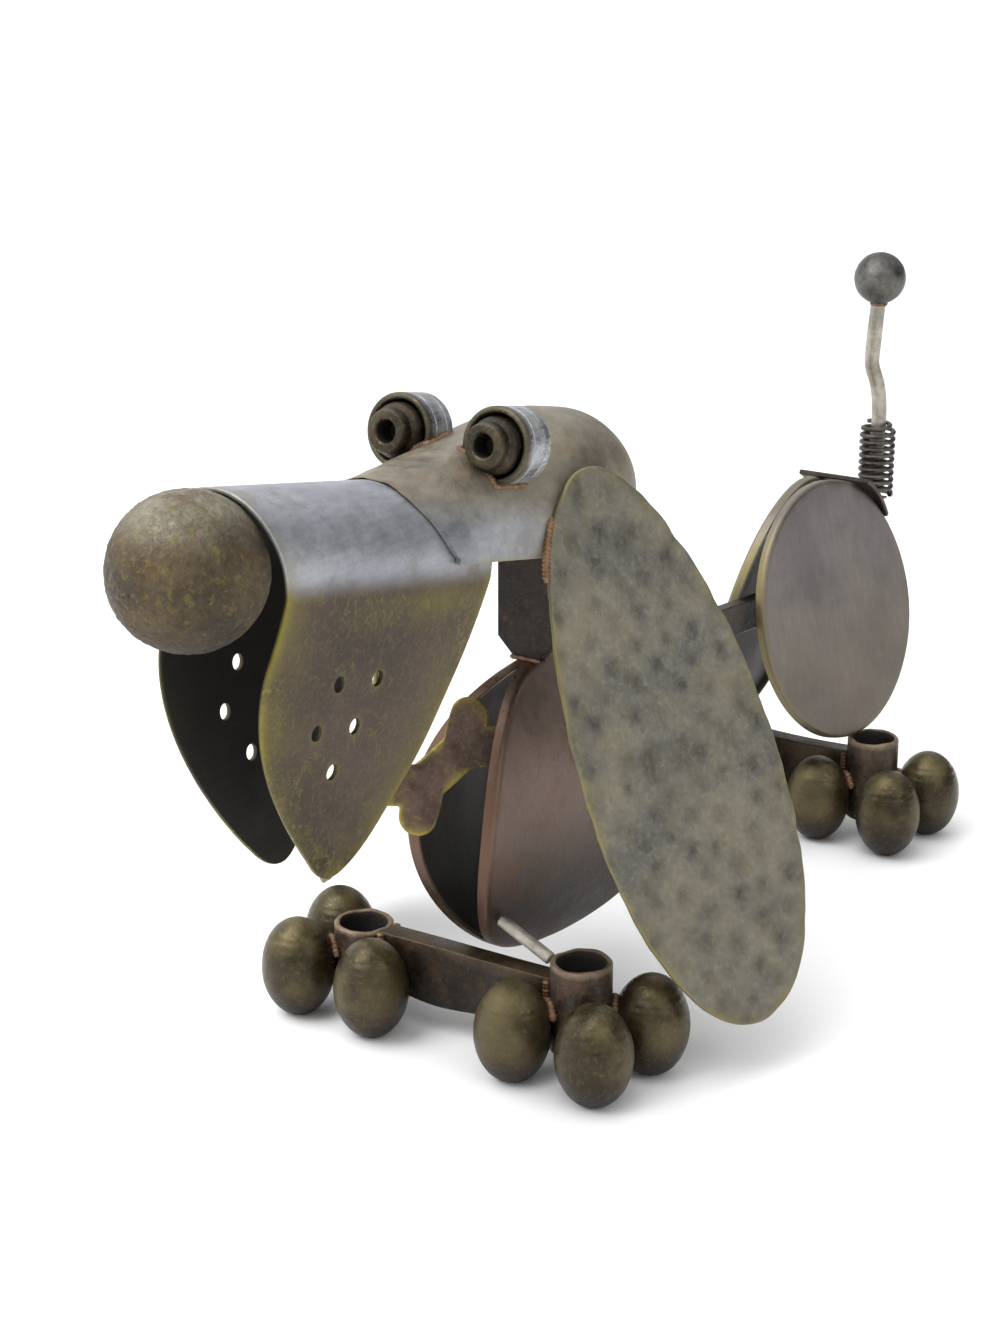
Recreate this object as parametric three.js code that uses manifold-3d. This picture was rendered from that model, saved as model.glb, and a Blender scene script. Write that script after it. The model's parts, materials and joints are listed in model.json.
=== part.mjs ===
// Long-eared dog welded from scrap steel: a ball nose in a folded muzzle sheet, a domed head cap,
// tube eyes, two egg-shaped ear plates, pan-like discs for chest and haunches, ball toes and a
// sprung tail. Millimetres, +Z up, the dog faces -Y and its left side is +X.

import * as THREE from 'three';
import { mergeVertices } from 'three/addons/utils/BufferGeometryUtils.js';
import Module from 'manifold-3d';

const wasm = await Module();
wasm.setup();

// ---------------------------------------------------------------- driving dimensions
const GAP = 0.3; // clearance left where two welded pieces meet
const SHEET = 2.2; // sheet steel of muzzle, cap and discs
const REACH = 1200; // longer than any piece, for cutting bodies

const HEAD = { y: -172.5, z: 290, pitch: 10 }; // centre of the nose ball, nose tipped up by pitch
const NOSE_R = 33.6;

// Muzzle: a sheet folded over the ball, its sides hanging down as jowls.
const MUZZLE = {
  radius: 33.5,
  rim: 12, // front rim, behind the nose centre
  end: 172, // rear edge, under the cap
  crease: -8, // where the round top turns into the flat jowls
  fold: -127, // where the jowl tips are bent inward
  bottom: -141,
  foldHalfWidth: 18.3,
  tipHalfWidth: 13.2,
};
const JOWL_HOLE = { radius: 3.7, rows: [{ down: -48, along: [70, 97.5] }, { down: -68.5, along: [60.5, 87.5] },
  { down: -88, along: [77.5] }] };

// Cap: a hood that grows out of the muzzle's top and ends in a dome.
const CAP = { start: 141, domeCentre: 272, radius: 41, ridge: 65, frontRadius: 36.3, frontRidge: 37.5 };

const EYE = { x: 27, along: 174, up: 51, radius: 18, length: 20, wall: 3.2 };

// Ear: an egg-shaped plate hung beside the cap, splayed outward and turned out at its rear edge.
const EAR = { length: 281, width: 112, egg: 0.12, thickness: 2.6, twist: 23.5, topZ: 292,
  left: { x: 43.2, y: 57, splay: 20.4 }, right: { x: 44.6, y: 82, splay: 20.07 } };

const NECK = { width: 33, depth: 10, y: 80, bottom: 186.1, bevel: 9, roofAt: 247 };

// Discs: chest discs are bowed about a fore-and-aft line, haunch discs are flat.
const CHEST = { radius: 78, lip: 7, bow: 30, x: 3.2, y: 88, z: 108, lean: 8, turn: 6 };
const HAUNCH = { radius: 77, lip: 6, x: 24.2, y: 381, z: 138, tilt: 13, turn: 7 };

const TOE = { radius: 19, centre: 25.5, flat: 0.6 };
const FRONT_PAW = { x: 65.3, y: 0, toeGap: 46, backOut: 29, back: 43.5 };
const REAR_PAW = { x: 49.5, y: 358, toeGap: 46, backOut: 29, back: 43.5 };
const ANKLE = { wall: 3, bottom: 12,
  frontTop: { left: 58.5, right: 47 }, rearTop: { left: 61.2, right: 61.2 } };

const LEG_BAR = { depth: 12, dipX: -14, dipZ: 14, topZ: 47 };
const REAR_BAR = { depth: 12, dipX: 0, dipZ: 20, topZ: 50 };
const SPINE = { thick: 8, tall: 18, from: [0, 104, 166], to: [0, 350, 146] };
const TAG = { length: 50, lobe: 12, waist: 11.5, thickness: 3, centre: [-9.6, 18, 145], along: [29, 38, 38],
  face: [0.52, -0.79, 0.33] };

const TAIL = { x: 12.8, y: 448, bottom: 193.4, coil: 9.6, wire: 1.4, turns: 10.5, pitch: 4.2, rod: 4.5,
  rodTop: 310.5, lean: -8, kink: -3.6, ball: 15.4 };
const BRIDGE = { radius: 77.2, thick: 3, halfWidth: 23, from: 33, to: 64 }; // strip over both haunch rims
const PROP = { radius: 3.2, from: [18.5, 26, 68.5], to: [48.2, 24.6, 55] };

// ---------------------------------------------------------------- small tools
const rad = THREE.MathUtils.degToRad;
const dog = new THREE.Group();

/** Turns a closed three.js geometry into a manifold solid. */
function solid(geometry) {
  const bare = geometry.index ? geometry.toNonIndexed() : geometry.clone();
  bare.deleteAttribute('normal');
  bare.deleteAttribute('uv');
  const merged = mergeVertices(bare, 1e-3);
  return new wasm.Manifold(new wasm.Mesh({
    numProp: 3,
    vertProperties: new Float32Array(merged.attributes.position.array),
    triVerts: new Uint32Array(merged.index.array),
  }));
}

/** Turns a manifold solid back into a three.js geometry. */
function geometryOf(body) {
  const mesh = body.getMesh();
  const geometry = new THREE.BufferGeometry();
  geometry.setAttribute('position', new THREE.BufferAttribute(new Float32Array(mesh.vertProperties), 3));
  geometry.setIndex(new THREE.BufferAttribute(new Uint32Array(mesh.triVerts), 1));
  geometry.computeVertexNormals();
  return geometry;
}

/** Moves a geometry by a turn about X, Y, Z (degrees) and then a shift. */
function placed(geometry, [x, y, z], [turnX, turnY, turnZ] = [0, 0, 0]) {
  const turn = new THREE.Euler(rad(turnX), rad(turnY), rad(turnZ));
  const matrix = new THREE.Matrix4().makeRotationFromEuler(turn).setPosition(x, y, z);
  return geometry.clone().applyMatrix4(matrix);
}

/** Adds a named mesh to a group. */
function add(group, name, geometry, color, roughness = 0.55, metalness = 0.85) {
  const material = new THREE.MeshStandardMaterial({ color, roughness, metalness });
  const mesh = new THREE.Mesh(geometry, material);
  mesh.name = name;
  group.add(mesh);
  return mesh;
}

/** A flat shape pushed through along X, from x0 to x1; shape x is Y and shape y is Z. */
function prismX(shape, x0, x1, segments = 24) {
  const flat = new THREE.ExtrudeGeometry(shape, { depth: x1 - x0, bevelEnabled: false, curveSegments: segments });
  const basis = new THREE.Matrix4().set(0, 0, 1, x0, 1, 0, 0, 0, 0, 1, 0, 0, 0, 0, 0, 1);
  return flat.applyMatrix4(basis);
}

/** A flat shape pushed through along Y, from y0 to y1; shape x is X and shape y is Z. */
function prismY(shape, y0, y1, segments = 24) {
  const flat = new THREE.ExtrudeGeometry(shape, { depth: y1 - y0, bevelEnabled: false, curveSegments: segments });
  const basis = new THREE.Matrix4().set(1, 0, 0, 0, 0, 0, -1, y1, 0, 1, 0, 0, 0, 0, 0, 1);
  return flat.applyMatrix4(basis);
}

/** A cylinder along X, centred on the origin. */
function rodX(radius, length, sides = 48) {
  return new THREE.CylinderGeometry(radius, radius, length, sides).rotateZ(Math.PI / 2);
}

/** The half-space box x > edge. */
function leftOf(edge) {
  return new THREE.BoxGeometry(REACH, 2 * REACH, 2 * REACH).translate(edge + REACH / 2, 0, 0);
}

const SIDES = [{ side: 1, word: 'left' }, { side: -1, word: 'right' }];

// ---------------------------------------------------------------- head
const head = new THREE.Group();
head.position.set(0, HEAD.y, HEAD.z);
head.rotation.x = -rad(HEAD.pitch);
dog.add(head);

add(head, 'nose_ball', new THREE.SphereGeometry(NOSE_R, 24, 12), 0x5e4a38, 0.75);

/** The arch of the muzzle: a half round on two legs, grown outward by `grow`. */
function muzzleArch(grow) {
  const r = MUZZLE.radius + grow;
  const arch = new THREE.Shape();
  arch.moveTo(MUZZLE.tipHalfWidth + grow, MUZZLE.bottom - 5);
  arch.lineTo(MUZZLE.foldHalfWidth + grow, MUZZLE.fold);
  arch.lineTo(r, MUZZLE.crease);
  arch.absarc(0, 0, r, 0, Math.PI, false);
  arch.lineTo(-r, MUZZLE.crease);
  arch.lineTo(-MUZZLE.foldHalfWidth - grow, MUZZLE.fold);
  arch.lineTo(-MUZZLE.tipHalfWidth - grow, MUZZLE.bottom - 5);
  return arch;
}

/** The muzzle's outline from the side: straight roof, curved rim and a rounded jowl. */
function muzzleSide() {
  const side = new THREE.Shape();
  side.moveTo(MUZZLE.rim, MUZZLE.radius + 5);
  side.lineTo(MUZZLE.end, MUZZLE.radius + 5);
  side.lineTo(MUZZLE.end, MUZZLE.crease);
  side.bezierCurveTo(164, -50, 140, -97, 112, -127);
  side.bezierCurveTo(101, -141, 91, -144, 78, -133);
  side.bezierCurveTo(46, -106, 12, -70, 21, -34);
  side.quadraticCurveTo(24, -18, 24, MUZZLE.crease);
  side.bezierCurveTo(21, 8, 14, 20, MUZZLE.rim, MUZZLE.radius + 5);
  return side;
}

let muzzle = solid(prismY(muzzleArch(0), MUZZLE.rim - 5, MUZZLE.end + 5, 9))
  .subtract(solid(prismY(muzzleArch(-SHEET), MUZZLE.rim - 15, MUZZLE.end + 15, 9)))
  .intersect(solid(prismX(muzzleSide(), -60, 60, 8)));
for (const row of JOWL_HOLE.rows) {
  for (const along of row.along) {
    muzzle = muzzle.subtract(solid(rodX(JOWL_HOLE.radius, 120, 10).translate(0, along, row.down)));
  }
}
add(head, 'muzzle_sheet', geometryOf(muzzle), 0x7b7468, 0.45);

/** Half width, axis height and cut-off height of the hood at a place along the head. */
function hoodSection(along, inset) {
  const rise = THREE.MathUtils.smoothstep(along, CAP.start - 12, CAP.domeCentre - 20);
  const full = THREE.MathUtils.lerp(CAP.frontRadius, CAP.radius, rise) - inset;
  const ridge = THREE.MathUtils.lerp(CAP.frontRidge, CAP.ridge, Math.pow(rise, 0.8)) - inset;
  const beyond = Math.max(0, along - CAP.domeCentre);
  return { half: Math.sqrt(Math.max(0, full * full - beyond * beyond)), axis: ridge - full };
}

/** A closed solid under the hood's surface, from `from` back to the dome's end. */
function hoodBody(inset, from, low) {
  const arcSteps = 14;
  const straight = 5;
  const dome = 5;
  const stations = [];
  for (let i = 0; i <= straight; i += 1) stations.push(THREE.MathUtils.lerp(from, CAP.domeCentre, i / straight));
  for (let i = 1; i <= dome; i += 1) {
    const turn = (Math.PI / 2) * (i / dome) * 0.985;
    stations.push(CAP.domeCentre + (CAP.radius - inset) * Math.sin(turn));
  }
  const points = [];
  for (const along of stations) {
    const { half, axis } = hoodSection(along, inset);
    points.push([half, along, low]);
    for (let k = 0; k <= arcSteps; k += 1) {
      const turn = (Math.PI * k) / arcSteps;
      points.push([half * Math.cos(turn), along, axis + half * Math.sin(turn)]);
    }
    points.push([-half, along, low]);
  }
  const ring = arcSteps + 3;
  const faces = [];
  for (let s = 0; s < stations.length - 1; s += 1) {
    for (let k = 0; k < ring; k += 1) {
      const a = s * ring + k;
      const b = s * ring + ((k + 1) % ring);
      faces.push(a, a + ring, b, b, a + ring, b + ring);
    }
  }
  for (let k = 1; k < ring - 1; k += 1) {
    const last = (stations.length - 1) * ring;
    faces.push(0, k, k + 1);
    faces.push(last, last + k + 1, last + k);
  }
  const geometry = new THREE.BufferGeometry();
  geometry.setAttribute('position', new THREE.Float32BufferAttribute(points.flat(), 3));
  geometry.setIndex(faces);
  return geometry;
}

/** The eye tube's room, cut out of the cap. */
function eyeRoom(side) {
  const room = new THREE.CylinderGeometry(EYE.radius + GAP, EYE.radius + GAP, EYE.length + 60, 18);
  return room.translate(side * EYE.x, EYE.along + EYE.length - (EYE.length + 60) / 2 + GAP, EYE.up);
}

let cap = solid(hoodBody(0, CAP.start, 0)).subtract(solid(hoodBody(SHEET, CAP.start - 20, -20)));
cap = cap.subtract(solid(prismY(muzzleArch(GAP), CAP.start - 30, MUZZLE.end + GAP, 9)));
for (const { side } of SIDES) cap = cap.subtract(solid(eyeRoom(side)));
const capPieces = cap.decompose();
cap = capPieces.reduce((best, piece) => (piece.volume() > best.volume() ? piece : best));
add(head, 'head_cap', geometryOf(cap), 0x8a7f6a, 0.5);

/** Outer ring of an eye: a short tube with a closed back. */
function eyeTube() {
  const r = EYE.radius;
  const inner = r - EYE.wall;
  const profile = [[0, 4], [inner, 4], [inner, EYE.length - 1], [inner + 1, EYE.length], [r - 1, EYE.length],
    [r, EYE.length - 1], [r, 1], [r - 1, 0], [0, 0]];
  return new THREE.LatheGeometry(profile.reverse().map(([x, y]) => new THREE.Vector2(x, y)), 18);
}

/** Stepped bush that stands in the tube, with the pupil bored in its end. */
function eyeBush() {
  const profile = [[0, 4 + GAP], [13.6, 4 + GAP], [13.6, 20], [12.6, 22.5], [11, 24], [10.6, 28.5], [9.6, 30],
    [6, 30], [5.2, 29], [5.2, 22], [0, 22]];
  return new THREE.LatheGeometry(profile.map(([x, y]) => new THREE.Vector2(x, y)), 14);
}

for (const { side, word } of SIDES) {
  const eye = new THREE.Group();
  eye.position.set(side * EYE.x, EYE.along + EYE.length, EYE.up);
  eye.rotation.x = Math.PI;
  head.add(eye);
  add(eye, `eye_tube_${word}`, eyeTube(), 0x6d675a);
  add(eye, `eye_bush_${word}`, eyeBush(), 0x3b3a37);
}

// ---------------------------------------------------------------- ears
/** Egg-shaped outline hanging down from (0, 0), narrower at the top. */
function eggOutline(length, width, egg, points = 44) {
  const outline = new THREE.Shape();
  for (let i = 0; i < points; i += 1) {
    const turn = (2 * Math.PI * i) / points;
    const across = (width / 2) * Math.sin(turn) * (1 - egg * Math.cos(turn));
    const down = (length / 2) * (Math.cos(turn) - 1);
    if (i === 0) outline.moveTo(across, down);
    else outline.lineTo(across, down);
  }
  outline.closePath();
  return outline;
}

for (const { side, word } of SIDES) {
  const splay = rad(EAR[word].splay);
  const up = new THREE.Vector3(-side * Math.sin(splay), -0.0535, Math.cos(splay)).normalize();
  const rear = new THREE.Vector3(side * Math.sin(rad(EAR.twist)), Math.cos(rad(EAR.twist)), 0);
  rear.addScaledVector(up, -rear.dot(up)).normalize();
  const out = new THREE.Vector3().crossVectors(rear, up);
  const ear = new THREE.Group();
  ear.position.set(side * EAR[word].x, EAR[word].y, EAR.topZ);
  ear.quaternion.setFromRotationMatrix(new THREE.Matrix4().makeBasis(out, rear, up));
  dog.add(ear);
  const plate = prismX(eggOutline(EAR.length, EAR.width, EAR.egg), -EAR.thickness / 2, EAR.thickness / 2);
  add(ear, `ear_${word}`, plate, 0x8b8874, 0.6);
}

// ---------------------------------------------------------------- neck
const roof = hoodSection(NECK.roofAt, SHEET);
const roofHeight = roof.axis + Math.sqrt(roof.half ** 2 - (NECK.width / 2) ** 2);
const neckTop = HEAD.z + roofHeight * Math.cos(rad(HEAD.pitch)) - NECK.roofAt * Math.sin(rad(HEAD.pitch))
  - (NECK.depth / 2) * Math.tan(rad(HEAD.pitch)) - GAP;
const neckShape = new THREE.Shape([
  new THREE.Vector2(-NECK.width / 2 + NECK.bevel, NECK.bottom),
  new THREE.Vector2(NECK.width / 2 - NECK.bevel, NECK.bottom),
  new THREE.Vector2(NECK.width / 2, NECK.bottom + NECK.bevel),
  new THREE.Vector2(NECK.width / 2, neckTop),
  new THREE.Vector2(-NECK.width / 2, neckTop),
  new THREE.Vector2(-NECK.width / 2, NECK.bottom + NECK.bevel),
]);
add(dog, 'neck_bar', prismY(neckShape, NECK.y - NECK.depth / 2, NECK.y + NECK.depth / 2), 0x2f2c29, 0.5);

// ---------------------------------------------------------------- chest and haunch discs
/** A pan-like disc in the Y-Z plane with its lip turned toward -X, bowed about Y by `bow`. */
function panDisc(radius, lip, bow) {
  const sides = 32;
  const slab = (front, back) => {
    if (bow === 0) return new THREE.BoxGeometry(front - back, 3 * radius, 3 * radius).translate((front + back) / 2, 0, 0);
    const bend = (radius * radius + bow * bow) / (2 * bow);
    const half = Math.asin(Math.min(1, (radius * 1.06) / bend));
    const strip = new THREE.Shape();
    strip.absarc(bow - bend, 0, bend + front, -half, half, false);
    strip.absarc(bow - bend, 0, bend + back, half, -half, true);
    return prismY(strip, -1.5 * radius, 1.5 * radius, 4);
  };
  const skin = solid(slab(0, -SHEET)).intersect(solid(rodX(radius, REACH, sides)));
  const rim = solid(slab(0, -lip)).intersect(solid(rodX(radius, REACH, sides)));
  const ring = rim.subtract(solid(rodX(radius - SHEET, 2 * REACH, sides)));
  return geometryOf(skin.add(ring));
}

for (const { side, word } of SIDES) {
  let chest = placed(panDisc(CHEST.radius, CHEST.lip, CHEST.bow), [0, 0, 0], [-CHEST.lean, 0, 0]);
  chest = placed(chest, [CHEST.x, CHEST.y, CHEST.z], [0, 0, -CHEST.turn]);
  let body = solid(chest).intersect(solid(leftOf(GAP / 2)));
  let shape = geometryOf(body);
  if (side < 0) shape = mirroredX(shape);
  add(dog, `chest_disc_${word}`, shape, 0x6e665c, 0.5);

  let haunch = placed(panDisc(HAUNCH.radius, HAUNCH.lip, 0), [0, 0, 0], [0, -HAUNCH.tilt, 0]);
  haunch = placed(haunch, [HAUNCH.x, HAUNCH.y, HAUNCH.z], [0, 0, -HAUNCH.turn]);
  body = solid(haunch).intersect(solid(leftOf(GAP / 2)));
  shape = geometryOf(body);
  if (side < 0) shape = mirroredX(shape);
  add(dog, `haunch_disc_${word}`, shape, 0x7c746a, 0.5);
}

/** A mirror image across x = 0 that still faces outward. */
function mirroredX(geometry) {
  const copy = geometry.clone().applyMatrix4(new THREE.Matrix4().makeScale(-1, 1, 1));
  const index = copy.index.array;
  for (let i = 0; i < index.length; i += 3) [index[i], index[i + 1]] = [index[i + 1], index[i]];
  copy.computeVertexNormals();
  return copy;
}

// ---------------------------------------------------------------- paws
/** A turned ball toe: taller than wide, with a small flat foot. */
function toeBall() {
  const steps = 8;
  const profile = [new THREE.Vector2(0, 0)];
  const tall = TOE.centre + TOE.flat;
  for (let i = 0; i <= steps; i += 1) {
    const low = Math.asin(TOE.centre / tall);
    const turn = THREE.MathUtils.lerp(-low, Math.PI / 2, i / steps);
    profile.push(new THREE.Vector2(i === steps ? 0 : TOE.radius * Math.cos(turn), TOE.centre + tall * Math.sin(turn)));
  }
  return new THREE.LatheGeometry(profile, 12).rotateX(Math.PI / 2);
}

/** Point equally far from three points in the plane. */
function circleCentre([ax, ay], [bx, by], [cx, cy]) {
  const d = 2 * (ax * (by - cy) + bx * (cy - ay) + cx * (ay - by));
  const a = ax * ax + ay * ay;
  const b = bx * bx + by * by;
  const c = cx * cx + cy * cy;
  return [(a * (by - cy) + b * (cy - ay) + c * (ay - by)) / d, (a * (cx - bx) + b * (ax - cx) + c * (bx - ax)) / d];
}

/** Three toes and the open ankle tube between them; returns where the ankle stands. */
function paw(place, sizes, side, word, top) {
  const toes = {
    inner: [sizes.x - sizes.toeGap / 2, sizes.y],
    outer: [sizes.x + sizes.toeGap / 2, sizes.y],
    back: [sizes.x + sizes.backOut, sizes.y + sizes.back],
  };
  for (const [toe, [x, y]] of Object.entries(toes)) {
    add(dog, `${place}_toe_${toe}_${word}`, toeBall(), 0x5f5538, 0.45).position.set(side * x, y, 0);
  }
  const [x, y] = circleCentre(toes.inner, toes.outer, toes.back);
  const reach = Math.hypot(x - toes.inner[0], y - toes.inner[1]);
  const outer = reach - TOE.radius;
  const profile = [[outer - ANKLE.wall, ANKLE.bottom], [outer, ANKLE.bottom], [outer, top],
    [outer - ANKLE.wall, top], [outer - ANKLE.wall, ANKLE.bottom]];
  const tube = new THREE.LatheGeometry(profile.map(([u, v]) => new THREE.Vector2(u, v)), 18).rotateX(Math.PI / 2);
  add(dog, `${place}_ankle_${word}`, tube, 0x55493d, 0.6).position.set(side * x, y, 0);
  return { x, y, outer };
}

let frontAnkle;
let rearAnkle;
for (const { side, word } of SIDES) {
  frontAnkle = paw('front', FRONT_PAW, side, word, ANKLE.frontTop[word]);
  rearAnkle = paw('rear', REAR_PAW, side, word, ANKLE.rearTop[word]);
}

/** A crescent-shaped bar on edge between the two ankles of a pair. */
function legBar(ankle, sizes, highLeft, highRight) {
  const end = ankle.x;
  const shape = new THREE.Shape();
  shape.moveTo(end, highLeft - 12);
  shape.quadraticCurveTo(end * 0.5, sizes.dipZ + 3, sizes.dipX, sizes.dipZ);
  shape.quadraticCurveTo(-end * 0.75, sizes.dipZ - 1, -end, highRight - 14);
  shape.lineTo(-end, highRight);
  shape.quadraticCurveTo(-end * 0.5, sizes.topZ, 0, sizes.topZ);
  shape.quadraticCurveTo(end * 0.5, sizes.topZ, end, highLeft);
  let bar = solid(prismY(shape, ankle.y - sizes.depth / 2, ankle.y + sizes.depth / 2, 10));
  for (const { side } of SIDES) {
    const room = new THREE.CylinderGeometry(ankle.outer + GAP, ankle.outer + GAP, REACH, 40).rotateX(Math.PI / 2);
    bar = bar.subtract(solid(room.translate(side * ankle.x, ankle.y, 0)));
  }
  return geometryOf(bar);
}

add(dog, 'front_leg_bar', legBar(frontAnkle, LEG_BAR, 48, 46), 0x2a2724, 0.5);
add(dog, 'rear_leg_bar', legBar(rearAnkle, REAR_BAR, 52, 52), 0x2a2724, 0.5);

// ---------------------------------------------------------------- spine, prop, tag
/** A plain round bar between two points. */
function barBetween(from, to, radius, sides) {
  const a = new THREE.Vector3(...from);
  const b = new THREE.Vector3(...to);
  const bar = new THREE.CylinderGeometry(radius, radius, a.distanceTo(b), sides);
  const turn = new THREE.Quaternion().setFromUnitVectors(new THREE.Vector3(0, 1, 0), b.clone().sub(a).normalize());
  bar.applyQuaternion(turn);
  return bar.translate((a.x + b.x) / 2, (a.y + b.y) / 2, (a.z + b.z) / 2);
}

const spineFrom = new THREE.Vector3(...SPINE.from);
const spineTo = new THREE.Vector3(...SPINE.to);
const spine = new THREE.BoxGeometry(SPINE.thick, spineFrom.distanceTo(spineTo), SPINE.tall);
const spineSlope = THREE.MathUtils.radToDeg(Math.atan2(spineTo.z - spineFrom.z, spineTo.y - spineFrom.y));
const spineMiddle = spineFrom.clone().add(spineTo).multiplyScalar(0.5);
add(dog, 'spine_bar', placed(spine, spineMiddle.toArray(), [spineSlope, 0, 0]), 0x4a433b);
add(dog, 'prop_rod', barBetween(PROP.from, PROP.to, PROP.radius, 16), 0xa39c8d);

/** Bone-shaped tag: two lobes at each end of a waist. */
function boneOutline() {
  const half = TAG.length / 2;
  const lobe = TAG.lobe;
  const shape = new THREE.Shape();
  shape.moveTo(-half + lobe * 0.6, -TAG.waist);
  shape.quadraticCurveTo(0, -TAG.waist + 3, half - lobe * 0.6, -TAG.waist);
  shape.absarc(half, -lobe * 0.8, lobe * 0.82, -Math.PI * 0.75, Math.PI * 0.35, false);
  shape.absarc(half, lobe * 0.8, lobe * 0.82, -Math.PI * 0.35, Math.PI * 0.75, false);
  shape.quadraticCurveTo(0, TAG.waist - 3, -half + lobe * 0.6, TAG.waist);
  shape.absarc(-half, lobe * 0.8, lobe * 0.82, Math.PI * 0.25, Math.PI * 1.35, false);
  shape.absarc(-half, -lobe * 0.8, lobe * 0.82, Math.PI * 0.65, Math.PI * 1.75, false);
  return shape;
}
const tagAlong = new THREE.Vector3(...TAG.along).normalize();
const tagBack = new THREE.Vector3(...TAG.face).negate();
tagBack.addScaledVector(tagAlong, -tagBack.dot(tagAlong)).normalize();
const tagUp = new THREE.Vector3().crossVectors(tagAlong, tagBack);
const tag = add(dog, 'bone_tag', prismY(boneOutline(), -TAG.thickness / 2, TAG.thickness / 2, 6), 0x5a4a45, 0.5);
tag.position.set(...TAG.centre);
tag.quaternion.setFromRotationMatrix(new THREE.Matrix4().makeBasis(tagAlong, tagBack, tagUp));

// ---------------------------------------------------------------- tail
/** The coil spring's centre line. */
class Coil extends THREE.Curve {
  getPoint(t, target = new THREE.Vector3()) {
    const turn = t * TAIL.turns * 2 * Math.PI;
    const closing = THREE.MathUtils.smoothstep(t, 1 - 1.2 / TAIL.turns, 1);
    const radius = THREE.MathUtils.lerp(TAIL.coil, TAIL.rod + TAIL.wire + GAP, closing);
    return target.set(radius * Math.cos(turn), radius * Math.sin(turn), t * TAIL.turns * TAIL.pitch);
  }
}

/** A round bar along a curve. */
function tubeAlong(curve, radius, sides, steps) {
  const section = new THREE.Shape();
  section.absarc(0, 0, radius, 0, 2 * Math.PI, false);
  return new THREE.ExtrudeGeometry(section, { steps, extrudePath: curve, curveSegments: sides, bevelEnabled: false });
}

const tail = new THREE.Group();
tail.position.set(TAIL.x, TAIL.y, TAIL.bottom);
dog.add(tail);
add(tail, 'tail_spring', tubeAlong(new Coil(), TAIL.wire, 3, Math.round(TAIL.turns * 10)), 0x4b4a48, 0.4);
const springTop = TAIL.turns * TAIL.pitch;
const rodLength = TAIL.rodTop - TAIL.bottom;
const rodLine = new THREE.CatmullRomCurve3([
  new THREE.Vector3(0, 0, springTop * 0.55),
  new THREE.Vector3(0, 0, springTop + 6),
  ...[[0.3, 0.3, 0.15], [0.46, 1, 0.55], [0.56, 1, 0.75], [0.8, 0.4, 0.95]].map(([part, bend, lean]) => (
    new THREE.Vector3(TAIL.kink * bend, TAIL.lean * lean, THREE.MathUtils.lerp(springTop, rodLength, part)))),
  new THREE.Vector3(0, TAIL.lean, rodLength),
]);
add(tail, 'tail_rod', tubeAlong(rodLine, TAIL.rod, 4, 14), 0x9a9482, 0.4);
const knob = new THREE.SphereGeometry(TAIL.ball, 16, 9);
add(tail, 'tail_ball', knob, 0x5b5b58, 0.4).position.set(0, TAIL.lean, rodLength + TAIL.ball + GAP);

const strip = new THREE.Shape();
strip.absarc(0, 0, BRIDGE.radius + BRIDGE.thick, rad(BRIDGE.from), rad(BRIDGE.to), false);
strip.absarc(0, 0, BRIDGE.radius, rad(BRIDGE.to), rad(BRIDGE.from), true);
const bridge = prismX(strip, -BRIDGE.halfWidth, BRIDGE.halfWidth, 5);
add(dog, 'tail_bridge', placed(bridge, [0, HAUNCH.y, HAUNCH.z]), 0x5d554a);

// ---------------------------------------------------------------- origin at the middle of the footprint
const box = new THREE.Box3().setFromObject(dog);
dog.position.set(-(box.min.x + box.max.x) / 2, -(box.min.y + box.max.y) / 2, -box.min.z);

export default dog;
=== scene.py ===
"""Looks of the welded scrap steel dog: fine meshes, weld beads, finishes, light and camera.

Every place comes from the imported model. Each class below builds one sub-assembly in millimetres,
in axes of its own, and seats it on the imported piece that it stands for.
"""

import json
import logging
import math
from dataclasses import dataclass, field
from enum import Enum

import bmesh
import bpy
import numpy as np
from mathutils import Matrix, Vector, noise

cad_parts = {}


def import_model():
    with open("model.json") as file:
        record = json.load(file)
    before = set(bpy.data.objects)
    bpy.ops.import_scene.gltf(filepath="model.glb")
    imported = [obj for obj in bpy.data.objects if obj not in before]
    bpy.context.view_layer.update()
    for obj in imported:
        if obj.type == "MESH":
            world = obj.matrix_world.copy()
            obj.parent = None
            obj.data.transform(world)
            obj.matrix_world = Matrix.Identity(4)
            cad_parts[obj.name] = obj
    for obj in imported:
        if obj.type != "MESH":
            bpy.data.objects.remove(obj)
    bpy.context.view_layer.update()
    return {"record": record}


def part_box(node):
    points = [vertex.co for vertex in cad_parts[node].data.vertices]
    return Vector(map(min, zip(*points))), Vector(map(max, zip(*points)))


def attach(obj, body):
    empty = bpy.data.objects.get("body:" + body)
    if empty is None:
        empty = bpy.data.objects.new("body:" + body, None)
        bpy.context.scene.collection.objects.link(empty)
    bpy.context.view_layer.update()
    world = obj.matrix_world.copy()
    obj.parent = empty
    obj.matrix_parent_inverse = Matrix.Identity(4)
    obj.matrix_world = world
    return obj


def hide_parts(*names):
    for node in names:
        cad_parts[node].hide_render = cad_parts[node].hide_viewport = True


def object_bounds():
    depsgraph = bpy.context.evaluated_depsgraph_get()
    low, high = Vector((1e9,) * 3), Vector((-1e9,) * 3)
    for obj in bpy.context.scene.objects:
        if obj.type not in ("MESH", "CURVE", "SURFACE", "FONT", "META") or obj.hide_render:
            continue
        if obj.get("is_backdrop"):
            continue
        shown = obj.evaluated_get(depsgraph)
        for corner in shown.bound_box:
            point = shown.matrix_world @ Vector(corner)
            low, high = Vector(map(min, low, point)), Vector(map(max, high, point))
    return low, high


LOG = logging.getLogger("scrap_dog")
MM = 0.001
ROOT = "root"
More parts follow.
